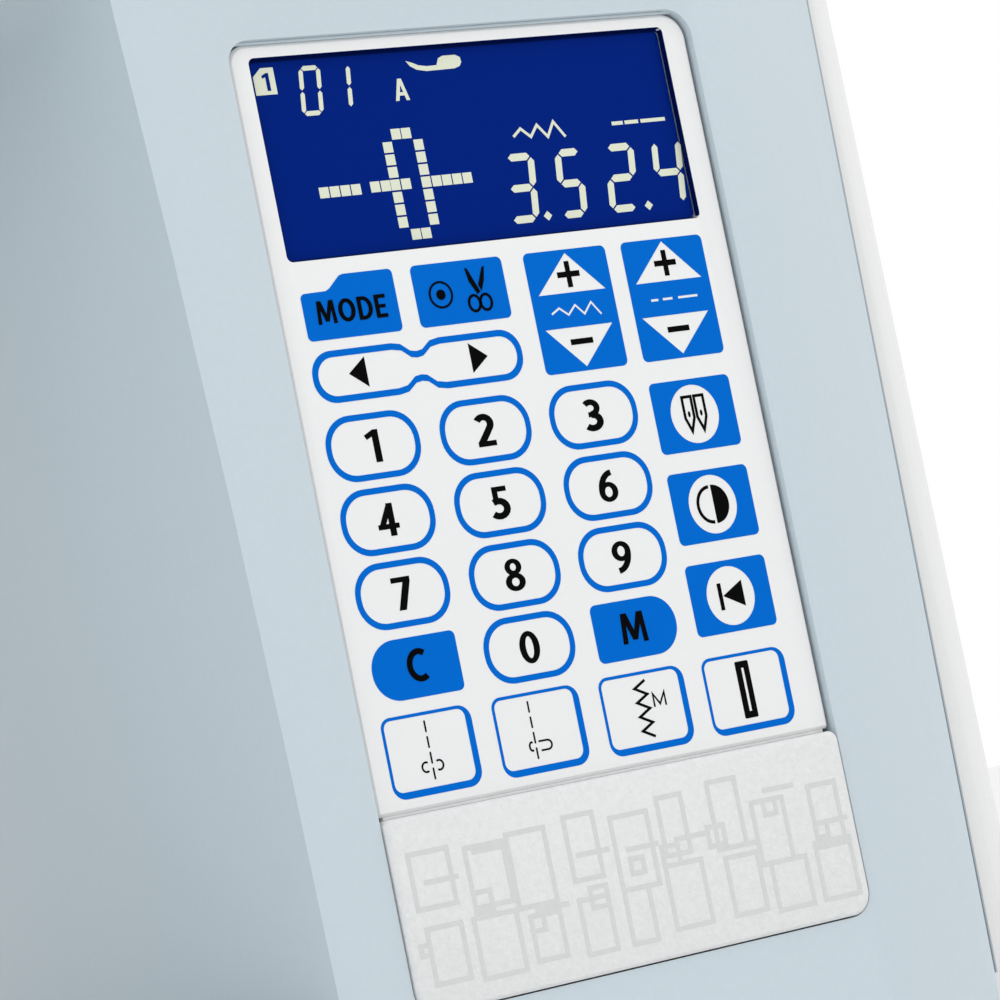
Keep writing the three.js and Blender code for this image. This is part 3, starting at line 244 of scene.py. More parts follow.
def make_materials():
    """Every finish of the machine, by plain name."""
    look = bpy.context.scene.sewing_finish
    size = look.grain
    MATERIALS.update(
        blue_grey=moulded("blue_grey_cover", look.blue_grey, 0.4, size, 0.1),
        white=moulded("white_cover", look.white, 0.38, size, 0.1, 0.008),
        tile=moulded("keypad_film", look.tile, 0.36, size * 0.6, 0.04, 0.004),
        plate=moulded("trim_plate_grain", look.plate, 0.5, size * 1.1, 0.9, 0.045),
        plate_line=moulded("trim_plate_line", [c * 0.84 for c in look.plate], 0.5, size, 0.5, 0.03),
        soft_white=moulded("soft_white", (0.76, 0.765, 0.765), 0.48, size, 0.16),
        dark=moulded("dark_plastic", (0.022, 0.024, 0.028), 0.45, size, 0.3, 0.1),
        grey=moulded("grey_plastic", (0.3, 0.32, 0.34), 0.5, size, 0.2, 0.04),
        # Mid-grey finish of the strip in the cover seam, a painted shadow line.
        seal=moulded("seal", (0.36, 0.4, 0.43), 0.6, size, 0.1, 0.02),
        rubber=moulded("rubber", (0.025, 0.025, 0.027), 0.8, 0.6 * MM, 0.5, 0.12),
        board=moulded("circuit_board", (0.015, 0.12, 0.045), 0.35, 1.5 * MM, 0.1, 0.1),
        casting=turned_metal("casting", (0.5, 0.51, 0.52), 0.55, 400.0, 0.35),
        steel=turned_metal("steel", (0.62, 0.63, 0.65), 0.3),
        chrome=turned_metal("chrome", (0.82, 0.83, 0.84), 0.12, 120.0, 0.03),
        brass=turned_metal("brass", (0.72, 0.5, 0.2), 0.28),
        clear=clear_plastic("clear_plastic", (0.8, 0.87, 0.9)),
        lens=lit_film("lamp_lens", (0.95, 0.93, 0.86), 0.3),
        ink_blue=ink("blue_ink", look.ink_blue),
        ink_black=ink("black_ink", (0.002, 0.002, 0.002)),
        ink_grey=ink("grey_ink", (0.16, 0.18, 0.2)),
        film_white=ink("white_ink", look.tile),
        # Near-black navy ink used as painted shade inside the display window.
        window_edge=ink("window_edge", (0.0, 0.006, 0.07)),
        display=lit_film("display_field", look.display, 0.12),
        segment=lit_film("display_segment", look.segment, 0.12),
        felt=moulded("red_felt", (0.42, 0.03, 0.03), 0.95, 0.7 * MM, 1.0, 0.3),
        thread=moulded("thread", (0.05, 0.16, 0.45), 0.75, 0.5 * MM, 0.9, 0.2),
    )


# --- bench tools
def leave_edit():
    bpy.ops.object.mode_set(mode="OBJECT")


def add_object(name, data):
    obj = bpy.data.objects.new(name, data)
    bpy.context.scene.collection.objects.link(obj)
    return obj


def clear_selection():
    if bpy.context.object and bpy.context.object.mode != "OBJECT":
        leave_edit()
    bpy.ops.object.select_all(action="DESELECT")


def pick(*objects):
    """Select these objects only; the first is active."""
    clear_selection()
    for o in objects:
        o.select_set(True)
    bpy.context.view_layer.objects.active = objects[0]


def settle(obj):
    """Puts the object's place into its mesh."""
    pick(obj)
    bpy.ops.object.transform_apply(location=True, rotation=True, scale=True)


def edit(obj):
    pick(obj)
    bpy.ops.object.mode_set(mode="EDIT")


def choose(obj, kind, items, passes):
    """In edit mode, selects the faces or edges that pass."""
    bpy.ops.mesh.select_mode(type=kind)
    bpy.ops.mesh.select_all(action="DESELECT")
    leave_edit()
    for item in getattr(obj.data, items):
        item.select = passes(item)
    bpy.ops.object.mode_set(mode="EDIT")


def choose_faces(obj, test):
    """In edit mode, selects the faces whose centre and normal pass the test."""
    choose(obj, "FACE", "polygons", lambda face: test(face.center, face.normal))


def choose_edges(obj, test):
    """In edit mode, selects the edges whose two ends pass the test."""
    choose(obj, "EDGE", "edges", lambda edge: test(*(obj.data.vertices[i].co for i in edge.vertices)))


def slab(place, size, turn=0.0):
    """A block of this size, turned about x."""
    bpy.ops.mesh.primitive_cube_add(size=1, location=place, rotation=(turn, 0, 0))
    block = bpy.context.object
    block.scale = size
    settle(block)
    return block


def rod(place, radius, length, sides):
    """A round bar along x."""
    bpy.ops.mesh.primitive_cylinder_add(
        vertices=sides, radius=radius, depth=length, location=place, rotation=(0, math.pi / 2, 0)
    )
    return bpy.context.object


def round_edges(obj, width, steps=2, angle=35):
    """Rounds the object's sharp edges and smooths the rest."""
    pick(obj)
    rounding = obj.modifiers.new("Rounding", "BEVEL")
    rounding.width = width
    rounding.segments = steps
    rounding.limit_method = "ANGLE"
    rounding.angle_limit = math.radians(angle)
    rounding.use_clamp_overlap = True
    rounding.miter_outer = "MITER_ARC"
    bpy.ops.object.modifier_apply(modifier=rounding.name)
    smooth(obj, angle)


def smooth(obj, angle=35):
    pick(obj)
    bpy.ops.object.shade_smooth_by_angle(angle=math.radians(angle), keep_sharp_edges=False)


def finish(obj, name, body, material):
    """Names, paints and attaches a finished piece."""
    settle(obj)
    obj.name = name
    obj.data.name = name
    obj.data.materials.clear()
    obj.data.materials.append(MATERIALS[material])
    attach(obj, body)
    return obj


def body_of(node):
    return next(b for b, nodes in frame["record"]["behaviour"]["bodies"].items() if node in nodes)


def finish_as(obj, name, node, material):
    """Finishes a piece that moves with a CAD node and belongs to the same moulding."""
    return finish(obj, name, body_of(node), material)


def paint(material, *nodes):
    """Gives CAD nodes their finish."""
    for node in nodes:
        for place in frame["nodes"][node].material_slots:
            place.material = MATERIALS[material]


def refined(node, material, width, steps=2, angle=35, soft=()):
    """A copy of a CAD node with rounded edges, standing for it.
    soft lists edges to round more widely: a test of their two ends, and the width."""
    source = frame["nodes"][node]
    shell = add_object(node + "_finished", source.data.copy())
    edit(shell)
    bpy.ops.mesh.select_all(action="SELECT")
    bpy.ops.mesh.remove_doubles(threshold=WELD)
    bpy.ops.mesh.dissolve_limited(angle_limit=math.radians(0.6))
    leave_edit()
    if shell.data.has_custom_normals:
        bpy.ops.mesh.customdata_custom_splitnormals_clear()
    for test, reach in soft:
        edit(shell)
        choose_edges(shell, test)
        bpy.ops.mesh.bevel(offset=reach, segments=5, clamp_overlap=True)
        leave_edit()
    round_edges(shell, width, steps, angle)
    finish_as(shell, shell.name, node, material)
    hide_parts(node)


def refine_all(rows):
    """Rows of node, material, rounding in millimetres and, where they differ, its steps and angle."""
    for node, material, width, *shape in rows:
        refined(node, material, width * MM, *shape)


# --- printing
def arc(x, y, rx, ry, start, end, steps=8):
    """Points of an elliptic arc, angles in degrees."""
    turn = [math.radians(start + (end - start) * i / steps) for i in range(steps + 1)]
    return [(x + rx * math.cos(a), y + ry * math.sin(a)) for a in turn]


def rounded(left, bottom, right, top, corner, steps=6):
    """Rectangle with round corners; corner is one radius or four from bottom left anticlockwise."""
    r = [corner] * 4 if isinstance(corner, (int, float)) else corner
    return (
        arc(left + r[0], bottom + r[0], r[0], r[0], 180, 270, steps)
        + arc(right - r[1], bottom + r[1], r[1], r[1], 270, 360, steps)
        + arc(right - r[2], top - r[2], r[2], r[2], 0, 90, steps)
        + arc(left + r[3], top - r[3], r[3], r[3], 90, 180, steps)
    )


def disc(x, y, rx, ry=None, steps=40):
    return arc(x, y, rx, ry or rx, 0, 360 - 360 / steps, steps - 1)


def stroke(points, width, closed=False):
    """Outlines of a line of even width with mitred corners: one if it is open, two if closed."""
    pts = [Vector(p) for p in points]
    count = len(pts)
    left, right = [], []
    for i, p in enumerate(pts):
        before = pts[i - 1] if (i or closed) else None
        after = pts[(i + 1) % count] if (i < count - 1 or closed) else None
        ways = [(b - a).normalized() for a, b in ((before, p), (p, after)) if a is not None and b is not None]
        normals = [Vector((-w.y, w.x)) for w in ways]
        side = sum(normals, Vector((0, 0))).normalized()
        reach = min(width / 2 / max(side.dot(normals[0]), 0.2), width * 1.4)
        left.append(tuple(p + side * reach))
        right.append(tuple(p - side * reach))
    return [left, right] if closed else [left + right[::-1]]


def printed(name, outlines, origin, body, material, lift=PRINT, unit=UNIT, facing=FACING_FRONT):
    """Ink on a flat face: outlines are in grid steps from origin; one inside another is a hole.
    origin is a point on the face, and facing turns the sheet from lying flat to lying on it, in degrees."""
    sheet = bpy.data.curves.new(name, "CURVE")
    sheet.dimensions = "2D"
    sheet.fill_mode = "BOTH"
    sheet.extrude = lift
    for outline in outlines:
        line = sheet.splines.new("POLY")
        line.points.add(len(outline) - 1)
        for point, (u, v) in zip(line.points, outline):
            point.co = (u * unit, v * unit, 0, 1)
        line.use_cyclic_u = True
    obj = add_object(name, sheet)
    obj.location = origin
    obj.rotation_euler = [math.radians(a) for a in facing]
    pick(obj)
    bpy.ops.object.convert(target="MESH")
    return finish(bpy.context.object, name, body, material)


def lettering(name, text, place, height, body, material, facing=LYING, bold=0.0, narrow=1.0, lift=PRINT):
    """Plain lettering centred on a point of a face."""
    capital = 0.69  # height of a capital as a share of the type size
    bpy.ops.object.text_add(location=place, rotation=[math.radians(a) for a in facing])
    obj = bpy.context.object
    obj.data.body = text
    obj.data.align_x = "CENTER"
    obj.data.align_y = "CENTER"
    obj.data.size = height / capital
    obj.data.offset = bold * height
    obj.data.extrude = lift
    obj.data.resolution_u = 6
    obj.scale = (narrow, 1, 1)
    pick(obj)
    bpy.ops.object.convert(target="MESH")
    return finish(bpy.context.object, name, body, material)


def box_of(left, bottom, right, top):
    return [(left, bottom), (right, bottom), (right, top), (left, top)]


# Bold signs one step high: the sign's width, and the layers that are printed one over the other.
SIGNS = {
    "0": (0.6, [[disc(0.3, 0.5, 0.3, 0.5), disc(0.3, 0.5, 0.115, 0.34)]]),
    "1": (0.5, [[[(0.27, 0), (0.46, 0), (0.46, 1), (0.31, 1), (0.05, 0.85), (0.11, 0.71), (0.27, 0.79)]]]),
    "2": (0.6, [
        [stroke(arc(0.28, 0.7, 0.205, 0.215, 150, -30, 12) + [(0.32, 0.38), (0.14, 0.12)], 0.2)[0]],
        [box_of(0.03, 0, 0.57, 0.165)],
    ]),
    "3": (0.6, [
        stroke(arc(0.25, 0.725, 0.2, 0.19, 140, -90, 12), 0.18),
        stroke(arc(0.25, 0.3, 0.235, 0.21, 90, -140, 14), 0.2),
        [box_of(0.16, 0.44, 0.3, 0.6)],
    ]),
    "4": (0.64, [
        [box_of(0.34, 0, 0.52, 1)],
        [box_of(0.02, 0.22, 0.63, 0.375)],
        [[(0.02, 0.25), (0.2, 0.25), (0.46, 0.83), (0.46, 1), (0.36, 1)]],
    ]),
    "5": (0.58, [
        [box_of(0.11, 0.84, 0.54, 1)],
        [box_of(0.11, 0.46, 0.27, 0.96)],
        stroke(arc(0.24, 0.32, 0.24, 0.235, 125, -140, 14), 0.2),
    ]),
    "6": (0.6, [
        [disc(0.3, 0.315, 0.29, 0.315), disc(0.3, 0.315, 0.115, 0.165)],
        stroke(arc(0.48, 0.34, 0.38, 0.575, 180, 92, 10), 0.18),
    ]),
    "7": (0.6, [[box_of(0.03, 0.84, 0.58, 1)], [[(0.13, 0), (0.34, 0), (0.58, 0.86), (0.38, 0.9)]]]),
    "8": (0.6, [
        [disc(0.3, 0.745, 0.25, 0.255), disc(0.3, 0.745, 0.09, 0.115)],
        [disc(0.3, 0.28, 0.295, 0.28), disc(0.3, 0.28, 0.115, 0.13)],
    ]),
    "9": (0.6, [
        [disc(0.3, 0.685, 0.29, 0.315), disc(0.3, 0.685, 0.115, 0.165)],
        stroke(arc(0.12, 0.66, 0.38, 0.575, 0, -88, 10), 0.18),
    ]),
    "A": (0.74, [[
        [(0, 0), (0.18, 0), (0.245, 0.23), (0.495, 0.23), (0.56, 0), (0.74, 0), (0.47, 1), (0.27, 1)],
        [(0.285, 0.38), (0.455, 0.38), (0.37, 0.72)],
    ]]),
    "C": (0.62, [stroke(arc(0.42, 0.5, 0.33, 0.415, 55, 305, 20), 0.18)]),
    "D": (0.68, [[
        [(0, 0), (0.26, 0)] + arc(0.26, 0.5, 0.42, 0.5, -90, 90, 16) + [(0, 1)],
        [(0.18, 0.16), (0.26, 0.16)] + arc(0.26, 0.5, 0.235, 0.34, -90, 90, 16) + [(0.18, 0.84)],
    ]]),
    "E": (0.52, [
        [box_of(0, 0, 0.18, 1)],
        [box_of(0.1, 0, 0.52, 0.16)],
        [box_of(0.1, 0.42, 0.48, 0.57)],
        [box_of(0.1, 0.84, 0.52, 1)],
    ]),
    "M": (0.88, [[
        [(0, 0), (0.16, 0), (0.19, 0.62), (0.36, 0.1), (0.52, 0.1), (0.69, 0.62), (0.72, 0), (0.88, 0)]
        + [(0.82, 1), (0.62, 1), (0.44, 0.4), (0.26, 1), (0.06, 1)]
    ]]),
    "O": (0.78, [[disc(0.39, 0.5, 0.39, 0.5), disc(0.39, 0.5, 0.2, 0.335)]]),
}


def written(name, text, u, v, height, origin, material, narrow=1.0, space=0.13):
    """A short text in bold signs, centred on a point of the grid; it rides the body."""
    wide = (sum(SIGNS[sign][0] for sign in text) + space * (len(text) - 1)) * narrow * height
    left = u - wide / 2
    pieces = []
    for sign in text:
        width, layers = SIGNS[sign]
        for outlines in layers:
            placed = [[(left + x * narrow * height, v + (y - 0.5) * height) for x, y in line] for line in outlines]
            lift = PRINT * (1 + 0.1 * len(pieces))
            pieces.append(printed(f"{name}_{len(pieces)}", placed, origin, "body", material, lift))
        left += (width + space) * narrow * height
    pick(*pieces)
    if len(pieces) > 1:
        bpy.ops.object.join()
    return finish(bpy.context.object, name, "body", material)


# --- covers
class SEWING_OT_covers(bpy.types.Operator):
    """Round the covers' edges and give them their finish"""

    bl_idname = "sewing.covers"
    bl_label = "Covers"

    def execute(self, context):
        front = PLATE[0].y - 0.1 * MM

        def is_crease(a, b):
            """Edges of the front's face along the throat, above the base."""
            return max(a.y, b.y) < front and max(a.x, b.x) < TILE[0].x - 5 * MM and min(a.z, b.z) > 55 * MM

        def is_seam(a, b):
            """Edges of the front's face along the side cover, below the head."""
            return max(a.y, b.y) < front + 3 * MM and min(a.x, b.x) > TILE[1].x + 15 * MM and max(a.z, b.z) < 282 * MM

        def is_right_or_lower(a, b):
            """The tile's right and lower edges, on its face."""
            right = min(a.x, b.x) > TILE[1].x - 3.4 * MM
            return max(a.y, b.y) < TILE[0].y + 0.05 * MM and (right or max(a.z, b.z) < TILE[0].z + 0.9 * MM)

        refined("front_cover", "blue_grey", 0.6 * MM, 3, soft=((is_crease, 1.3 * MM), (is_seam, 2.0 * MM)))
        refine_all((
            ("rear_cover", "white", 0.8),
            ("side_cover", "white", 0.8, 3),
            ("face_cover", "white", 1.0, 3),
            ("top_lid", "white", 0.6),
            ("top_tray", "soft_white", 0.4),
            ("carry_handle", "white", 1.2),
            ("base_pan", "white", 1.0),
            ("free_arm_cover", "white", 0.6),
            ("extension_table", "white", 0.8),
        ))
        refined("control_panel", "tile", 0.25 * MM, soft=((is_right_or_lower, 0.9 * MM),))
        refine_all((("trim_plate", "plate", 0.3), ("handwheel", "white", 0.8, 3, 40)))
        paint("display", "lcd_module")
        paint("board", "keypad_board", "control_board")
        self.panel_seals()
        # Painted shadow line along the seam to the side cover.
        self.side_seal()
        return {"FINISHED"}

    def panel_seals(self):
        """Soft seals in the gap above the keypad tile, and in the gap below it."""
        middle = (TILE[0] + TILE[1]) / 2
        size = (TILE[1].x - TILE[0].x - 1.6 * MM, 1.2 * MM, 0.38 * MM)
        for name, z, depth, slot, material in (
            ("panel_seal", TILE[1].z + 0.2 * MM, 0.75 * MM, "blue_grey_plastic", "blue_grey"),
            ("plate_seal", (TILE[0].z + PLATE[1].z) / 2, 0.95 * MM, "soft_white_plastic", "plate"),
        ):
            seal = slab((middle.x, TILE[0].y + depth, z), size)
            round_edges(seal, 0.08 * MM)
            finish(seal, name, "body", material)

    def side_seal(self):
        """Painted shadow line: a thin mid-grey strip in the gap between the front and the side cover, standing for
        the seam's shade.
        """
        rise = SEAM_HEAD - SEAM_FOOT
        seal = slab(SEAM_FOOT + Vector((0, 0, rise.z / 2)), (0.3 * MM, 1.6 * MM, rise.z))
        edit(seal)
        choose_faces(seal, lambda centre, normal: normal.z > 0.9)
        bpy.ops.transform.translate(value=(rise.x, rise.y, 0))
        leave_edit()
        round_edges(seal, 0.08 * MM)
        finish(seal, "side_seal", "body", "seal")


# --- keypad
def above(level):
    """Start of the grid on top of this many layers of ink."""
    return CORNER - Vector((0, level * PRINT, 0))


def on_keypad(name, outlines, material="ink_blue", level=0):
    return printed(name, outlines, above(level), "body", material)


def legend(name, text, u, v, height, level=0, narrow=1.0):
    return written(name, text, u, v, height, above(level), "ink_black", narrow)


COLUMNS = (10.55, 27.4, 44.2)  # middles of the number keys
ROWS = (-52.6, -62.1, -71.55, -81.0)
DIRECT_KEYS = ((3.55, 16.8), (19.95, 33.2), (36.4, 49.75), (52.8, 66.25))  # left and right sides
DIRECT_V = (-97.0, -86.6)  # lower and upper side


def number_key(u, v, size):
    """Outline of a number key: straight above and below, round at its ends."""
    w, h, line = size.key_width / 2, size.key_height / 2, size.line
    outer = rounded(u - w, v - h, u + w, v + h, h * 0.93, 10)
    inner = rounded(u - w + line, v - h + line, u + w - line, v + h - line, (h - line) * 0.93, 10)
    return [outer, inner]


def triangle(u, v, half, height):
    """Isosceles triangle with its base at v; a negative height points down."""
    return [(u - half, v), (u + half, v), (u, v + height)]


def ringed_square(u0, v0, u1, v1):
    """Direct key: a thin line on the left and top, and a heavy one on the right and below."""
    thin, heavy, r = 0.42, 0.9, 1.4
    outer = rounded(u0, v0, u1, v1, (r + 0.5, r + 0.6, r + 0.5, r))
    inner = rounded(u0 + thin, v0 + heavy, u1 - heavy, v1 - thin, (r - 0.3, r - 0.2, r - 0.3, r - 0.4))
    return [outer, inner]


def plus(u, v, arm, half):
    """A plus sign with four arms of the same length."""
    points = []
    corner = [(-arm, -half), (-half, -half), (-half, -arm)]
    for _ in range(4):
        points += [(u + x, v + y) for x, y in corner]
        corner = [(-y, x) for x, y in corner]
    return points


class SEWING_OT_keypad(bpy.types.Operator):
    """Print the keys on the keypad tile"""

    bl_idname = "sewing.keypad"
    bl_label = "Keypad"

    def execute(self, context):
        size = context.scene.sewing_keypad
        self.outlined_keys(size)
        self.solid_keys()
        self.digits(size)
        self.direct_icons()
        self.black_icons()
        return {"FINISHED"}

    def outlined_keys(self, size):
        for row, v in enumerate(ROWS):
            for column, u in enumerate(COLUMNS):
                if row < 3 or column == 1:
                    on_keypad(f"key_ring_{row}_{column}", number_key(u, v, size))
        on_keypad("arrow_rocker", self.rocker(0) + self.rocker(size.line + 0.05))
        for i, (left, right) in enumerate(DIRECT_KEYS):
            on_keypad(f"direct_key_{i}", ringed_square(left, DIRECT_V[0], right, DIRECT_V[1]))

    def rocker(self, inset):
        """A wide key with round ends and a waist."""
        left, right, top, bottom = 3.8 + inset, 35.2 - inset, -39.9 - inset, -46.6 + inset
        r = 3.1 - inset * 0.8
        waist = [(15.9, 0), (17.3, 0.25), (18.6, 1.25), (19.5, 1.4), (20.4, 1.25), (21.7, 0.25), (23.1, 0)]
        return [
            arc(left + r, bottom + r, r, r, 180, 270)
            + [(u, bottom + rise) for u, rise in waist]
            + arc(right - r, bottom + r, r, r, 270, 360)
            + arc(right - r, top - r, r, r, 0, 90)
            + [(u, top - rise) for u, rise in reversed(waist)]
            + arc(left + r, top - r, r, r, 90, 180)
        ]

    def solid_keys(self):
        r = 0.7
        mode = (
            arc(5.0, -37.8, r, r, 180, 270)
            + arc(17.5, -37.8, r, r, 270, 360)
            + arc(17.5, -31.05, r, r, 0, 90)
            + [(11.0, -30.35), (10.4, -30.5), (8.7, -32.0), (8.1, -32.3)]
            + arc(5.0, -33.05, r, r, 90, 180)
        )
        on_keypad("mode_key", [mode])
        on_keypad("target_key", [rounded(20.9, -38.5, 34.8, -30.35, 0.8)])
        zigzag = [(40.9, -38.8), (42.2, -38.1), (43.5, -39.1), (44.75, -37.9), (46.0, -39.2), (47.3, -37.75)]
        width_key = [
            rounded(38.2, -46.69, 51.15, -30.43, 0.8),
            triangle(44.75, -36.2, 5.3, 5.3),
            triangle(44.7, -40.8, 5.3, -5.35),
            *stroke(zigzag + [(48.6, -39.5)], 0.28),
        ]
        on_keypad("width_key", width_key)
        length_key = [
            rounded(53.68, -46.69, 66.85, -30.43, 0.8),
            triangle(60.3, -36.2, 5.35, 5.4),
            triangle(60.2, -40.8, 5.4, -5.35),
            *[box_of(a, -38.75, b, -38.42) for a, b in ((56.8, 58.0), (58.7, 60.3), (61.2, 64.4))],
        ]
        on_keypad("length_key", length_key)
        for name, sides, centre in (
            ("twin_needle_key", (53.58, -59.23, 66.6, -49.61), (60.05, -54.35)),
            ("contrast_key", (53.5, -71.49, 66.5, -61.91), (59.95, -66.6)),
            ("restart_key", (53.36, -83.74, 66.35, -74.2), (59.8, -78.95)),
        ):
            on_keypad(name, [rounded(*sides, 0.8), disc(*centre, 3.85, 3.95)])
        on_keypad("clear_key", [rounded(3.9, -84.8, 16.75, -77.1, (3.75, 0.8, 0.8, 3.75), 10)])
        on_keypad("memory_key", [rounded(37.45, -84.85, 50.4, -77.15, (0.9, 3.75, 3.75, 0.9), 10)])

    def digits(self, size):
        for i, digit in enumerate("123456789"):
            legend(f"digit_{digit}", digit, COLUMNS[i % 3] - 0.1, ROWS[i // 3], size.digit, 0, 1.2)
        legend("digit_0", "0", COLUMNS[1], ROWS[3], size.digit, 0, 1.2)
        legend("mode_legend", "MODE", 11.3, -35.0, 3.0, 2, 1.05)
        legend("clear_legend", "C", 10.4, -80.75, 4.2, 2, 1.05)
        legend("memory_legend", "M", 43.6, -80.85, 4.0, 2, 1.12)

    def direct_icons(self):
        """Straight stitch, locking stitch, stretch zigzag and buttonhole."""
        icons = []
        for u in (9.9, 25.4):
            icons += [rounded(u - 0.12, t - 1.5, u + 0.12, t, 0.05, 1) for t in (-87.7, -89.7, -91.7, -93.7)]
        loops = (
            arc(8.95, -93.5, 0.6, 0.62, 60, 300, 10),
            arc(10.85, -93.5, 0.6, 0.62, -120, 120, 10),
            arc(24.8, -93.5, 0.35, 0.55, 60, 300, 10),
            [(25.9, -93.0), (27.1, -93.0)] + arc(27.2, -93.6, 0.6, 0.6, 90, -90, 8) + [(26.1, -94.2)],
        )
        for loop in loops:
            icons += stroke(loop, 0.25)
        icons += stroke([(41.85 if i % 2 else 43.65, -87.8 - 0.93 * i) for i in range(9)], 0.36)
        icons += stroke([(44.45, -91.5), (44.45, -89.75), (45.35, -91.2), (46.25, -89.75), (46.25, -91.5)], 0.26)
        icons += [rounded(58.15, -95.3, 60.3, -87.7, 0.12, 1), rounded(59.05, -94.4, 59.45, -88.6, 0.05, 1)]
        on_keypad("stitch_icons", icons, "ink_black")

    def black_icons(self):
        """Plus and minus signs, arrows, target, scissors, needles, contrast and restart marks."""
        plus_v, minus_v, arm, half = -33.75, -42.75, 1.75, 0.38
        signs = []
        for u in (44.7, 60.25):
            signs += [plus(u, plus_v, arm, half), box_of(u - arm, minus_v - half, u + arm, minus_v + half)]
        signs.append([(9.1, -43.1), (11.7, -45.05), (11.7, -41.15)])
        signs.append([(29.9, -43.1), (27.3, -41.15), (27.3, -45.05)])
        w = 0.72
        for u in (59.15, 61.1):
            signs += stroke([(u - w, -51.95), (u + w, -51.95), (u + w, -54.8), (u, -56.6), (u - w, -54.8)], 0.4, True)
            signs.append(disc(u, -54.3, 0.2, 0.42, 12))
        signs += [arc(59.75, -66.6, 2.4, 2.6, 90, 270, 20) + arc(59.75, -66.6, 1.95, 2.15, 270, 90, 20)]
        signs += [arc(60.1, -66.6, 2.45, 2.6, 90, -90, 20)]
        signs += [box_of(57.9, -80.7, 58.5, -77.1), [(58.6, -78.85), (61.9, -80.6), (61.9, -77.1)]]
        on_keypad("black_signs", signs, "ink_black")
        target = [disc(24.75, -34.5, 1.8), disc(24.75, -34.5, 1.52), disc(24.75, -34.5, 0.68, None, 20)]
        on_keypad("target_icon", target, "ink_black", 2)
        blades = [
            [(29.0, -31.4), (29.35, -31.5), (30.75, -34.7), (30.25, -34.95), (29.3, -33.2)],
            [(32.0, -31.4), (31.65, -31.5), (30.6, -33.75), (30.95, -34.6), (31.6, -33.2)],
        ]
        on_keypad("scissor_blades", blades, "ink_black", 2)
        for i, u in enumerate((29.55, 31.3)):
            ring = [disc(u, -36.1, 1.02, 1.22, 24), disc(u, -36.1, 0.66, 0.86, 24)]
            on_keypad(f"scissor_ring_{i}", ring, "ink_black", 2)


# --- display
LEAN = 0.12  # the display's digits lean to the right
SEGMENTS = {"0": "abcdef", "1": "bc", "2": "abged", "3": "abgcd", "4": "fgbc", "5": "afgcd"}


def seven_segment(digit, u, v, width, height, thick):
    """Segments of a digit whose lower left corner is at u, v."""
    t, half, gap = thick / 2, height / 2, thick * 0.16

    def bar(low, high, at, upright):
        """A segment between two ends, with pointed tips."""
        tips = [(low + gap, 0), (low + t + gap, -t), (high - t - gap, -t)]
        tips += [(high - gap, 0), (high - t - gap, t), (low + t + gap, t)]
        placed = [(at - y, x) if upright else (x, at + y) for x, y in tips]
        return [(u + x + y * LEAN, v + y) for x, y in placed]

    shapes = {
        "a": (t, width - t, height - t, False),
        "g": (t, width - t, half, False),
        "d": (t, width - t, t, False),
        "f": (half, height - t, t, True),
        "b": (half, height - t, width - t, True),
        "e": (t, half, t, True),
        "c": (t, half, width - t, True),
    }
    return [bar(*shapes[s]) for s in SEGMENTS[digit]]


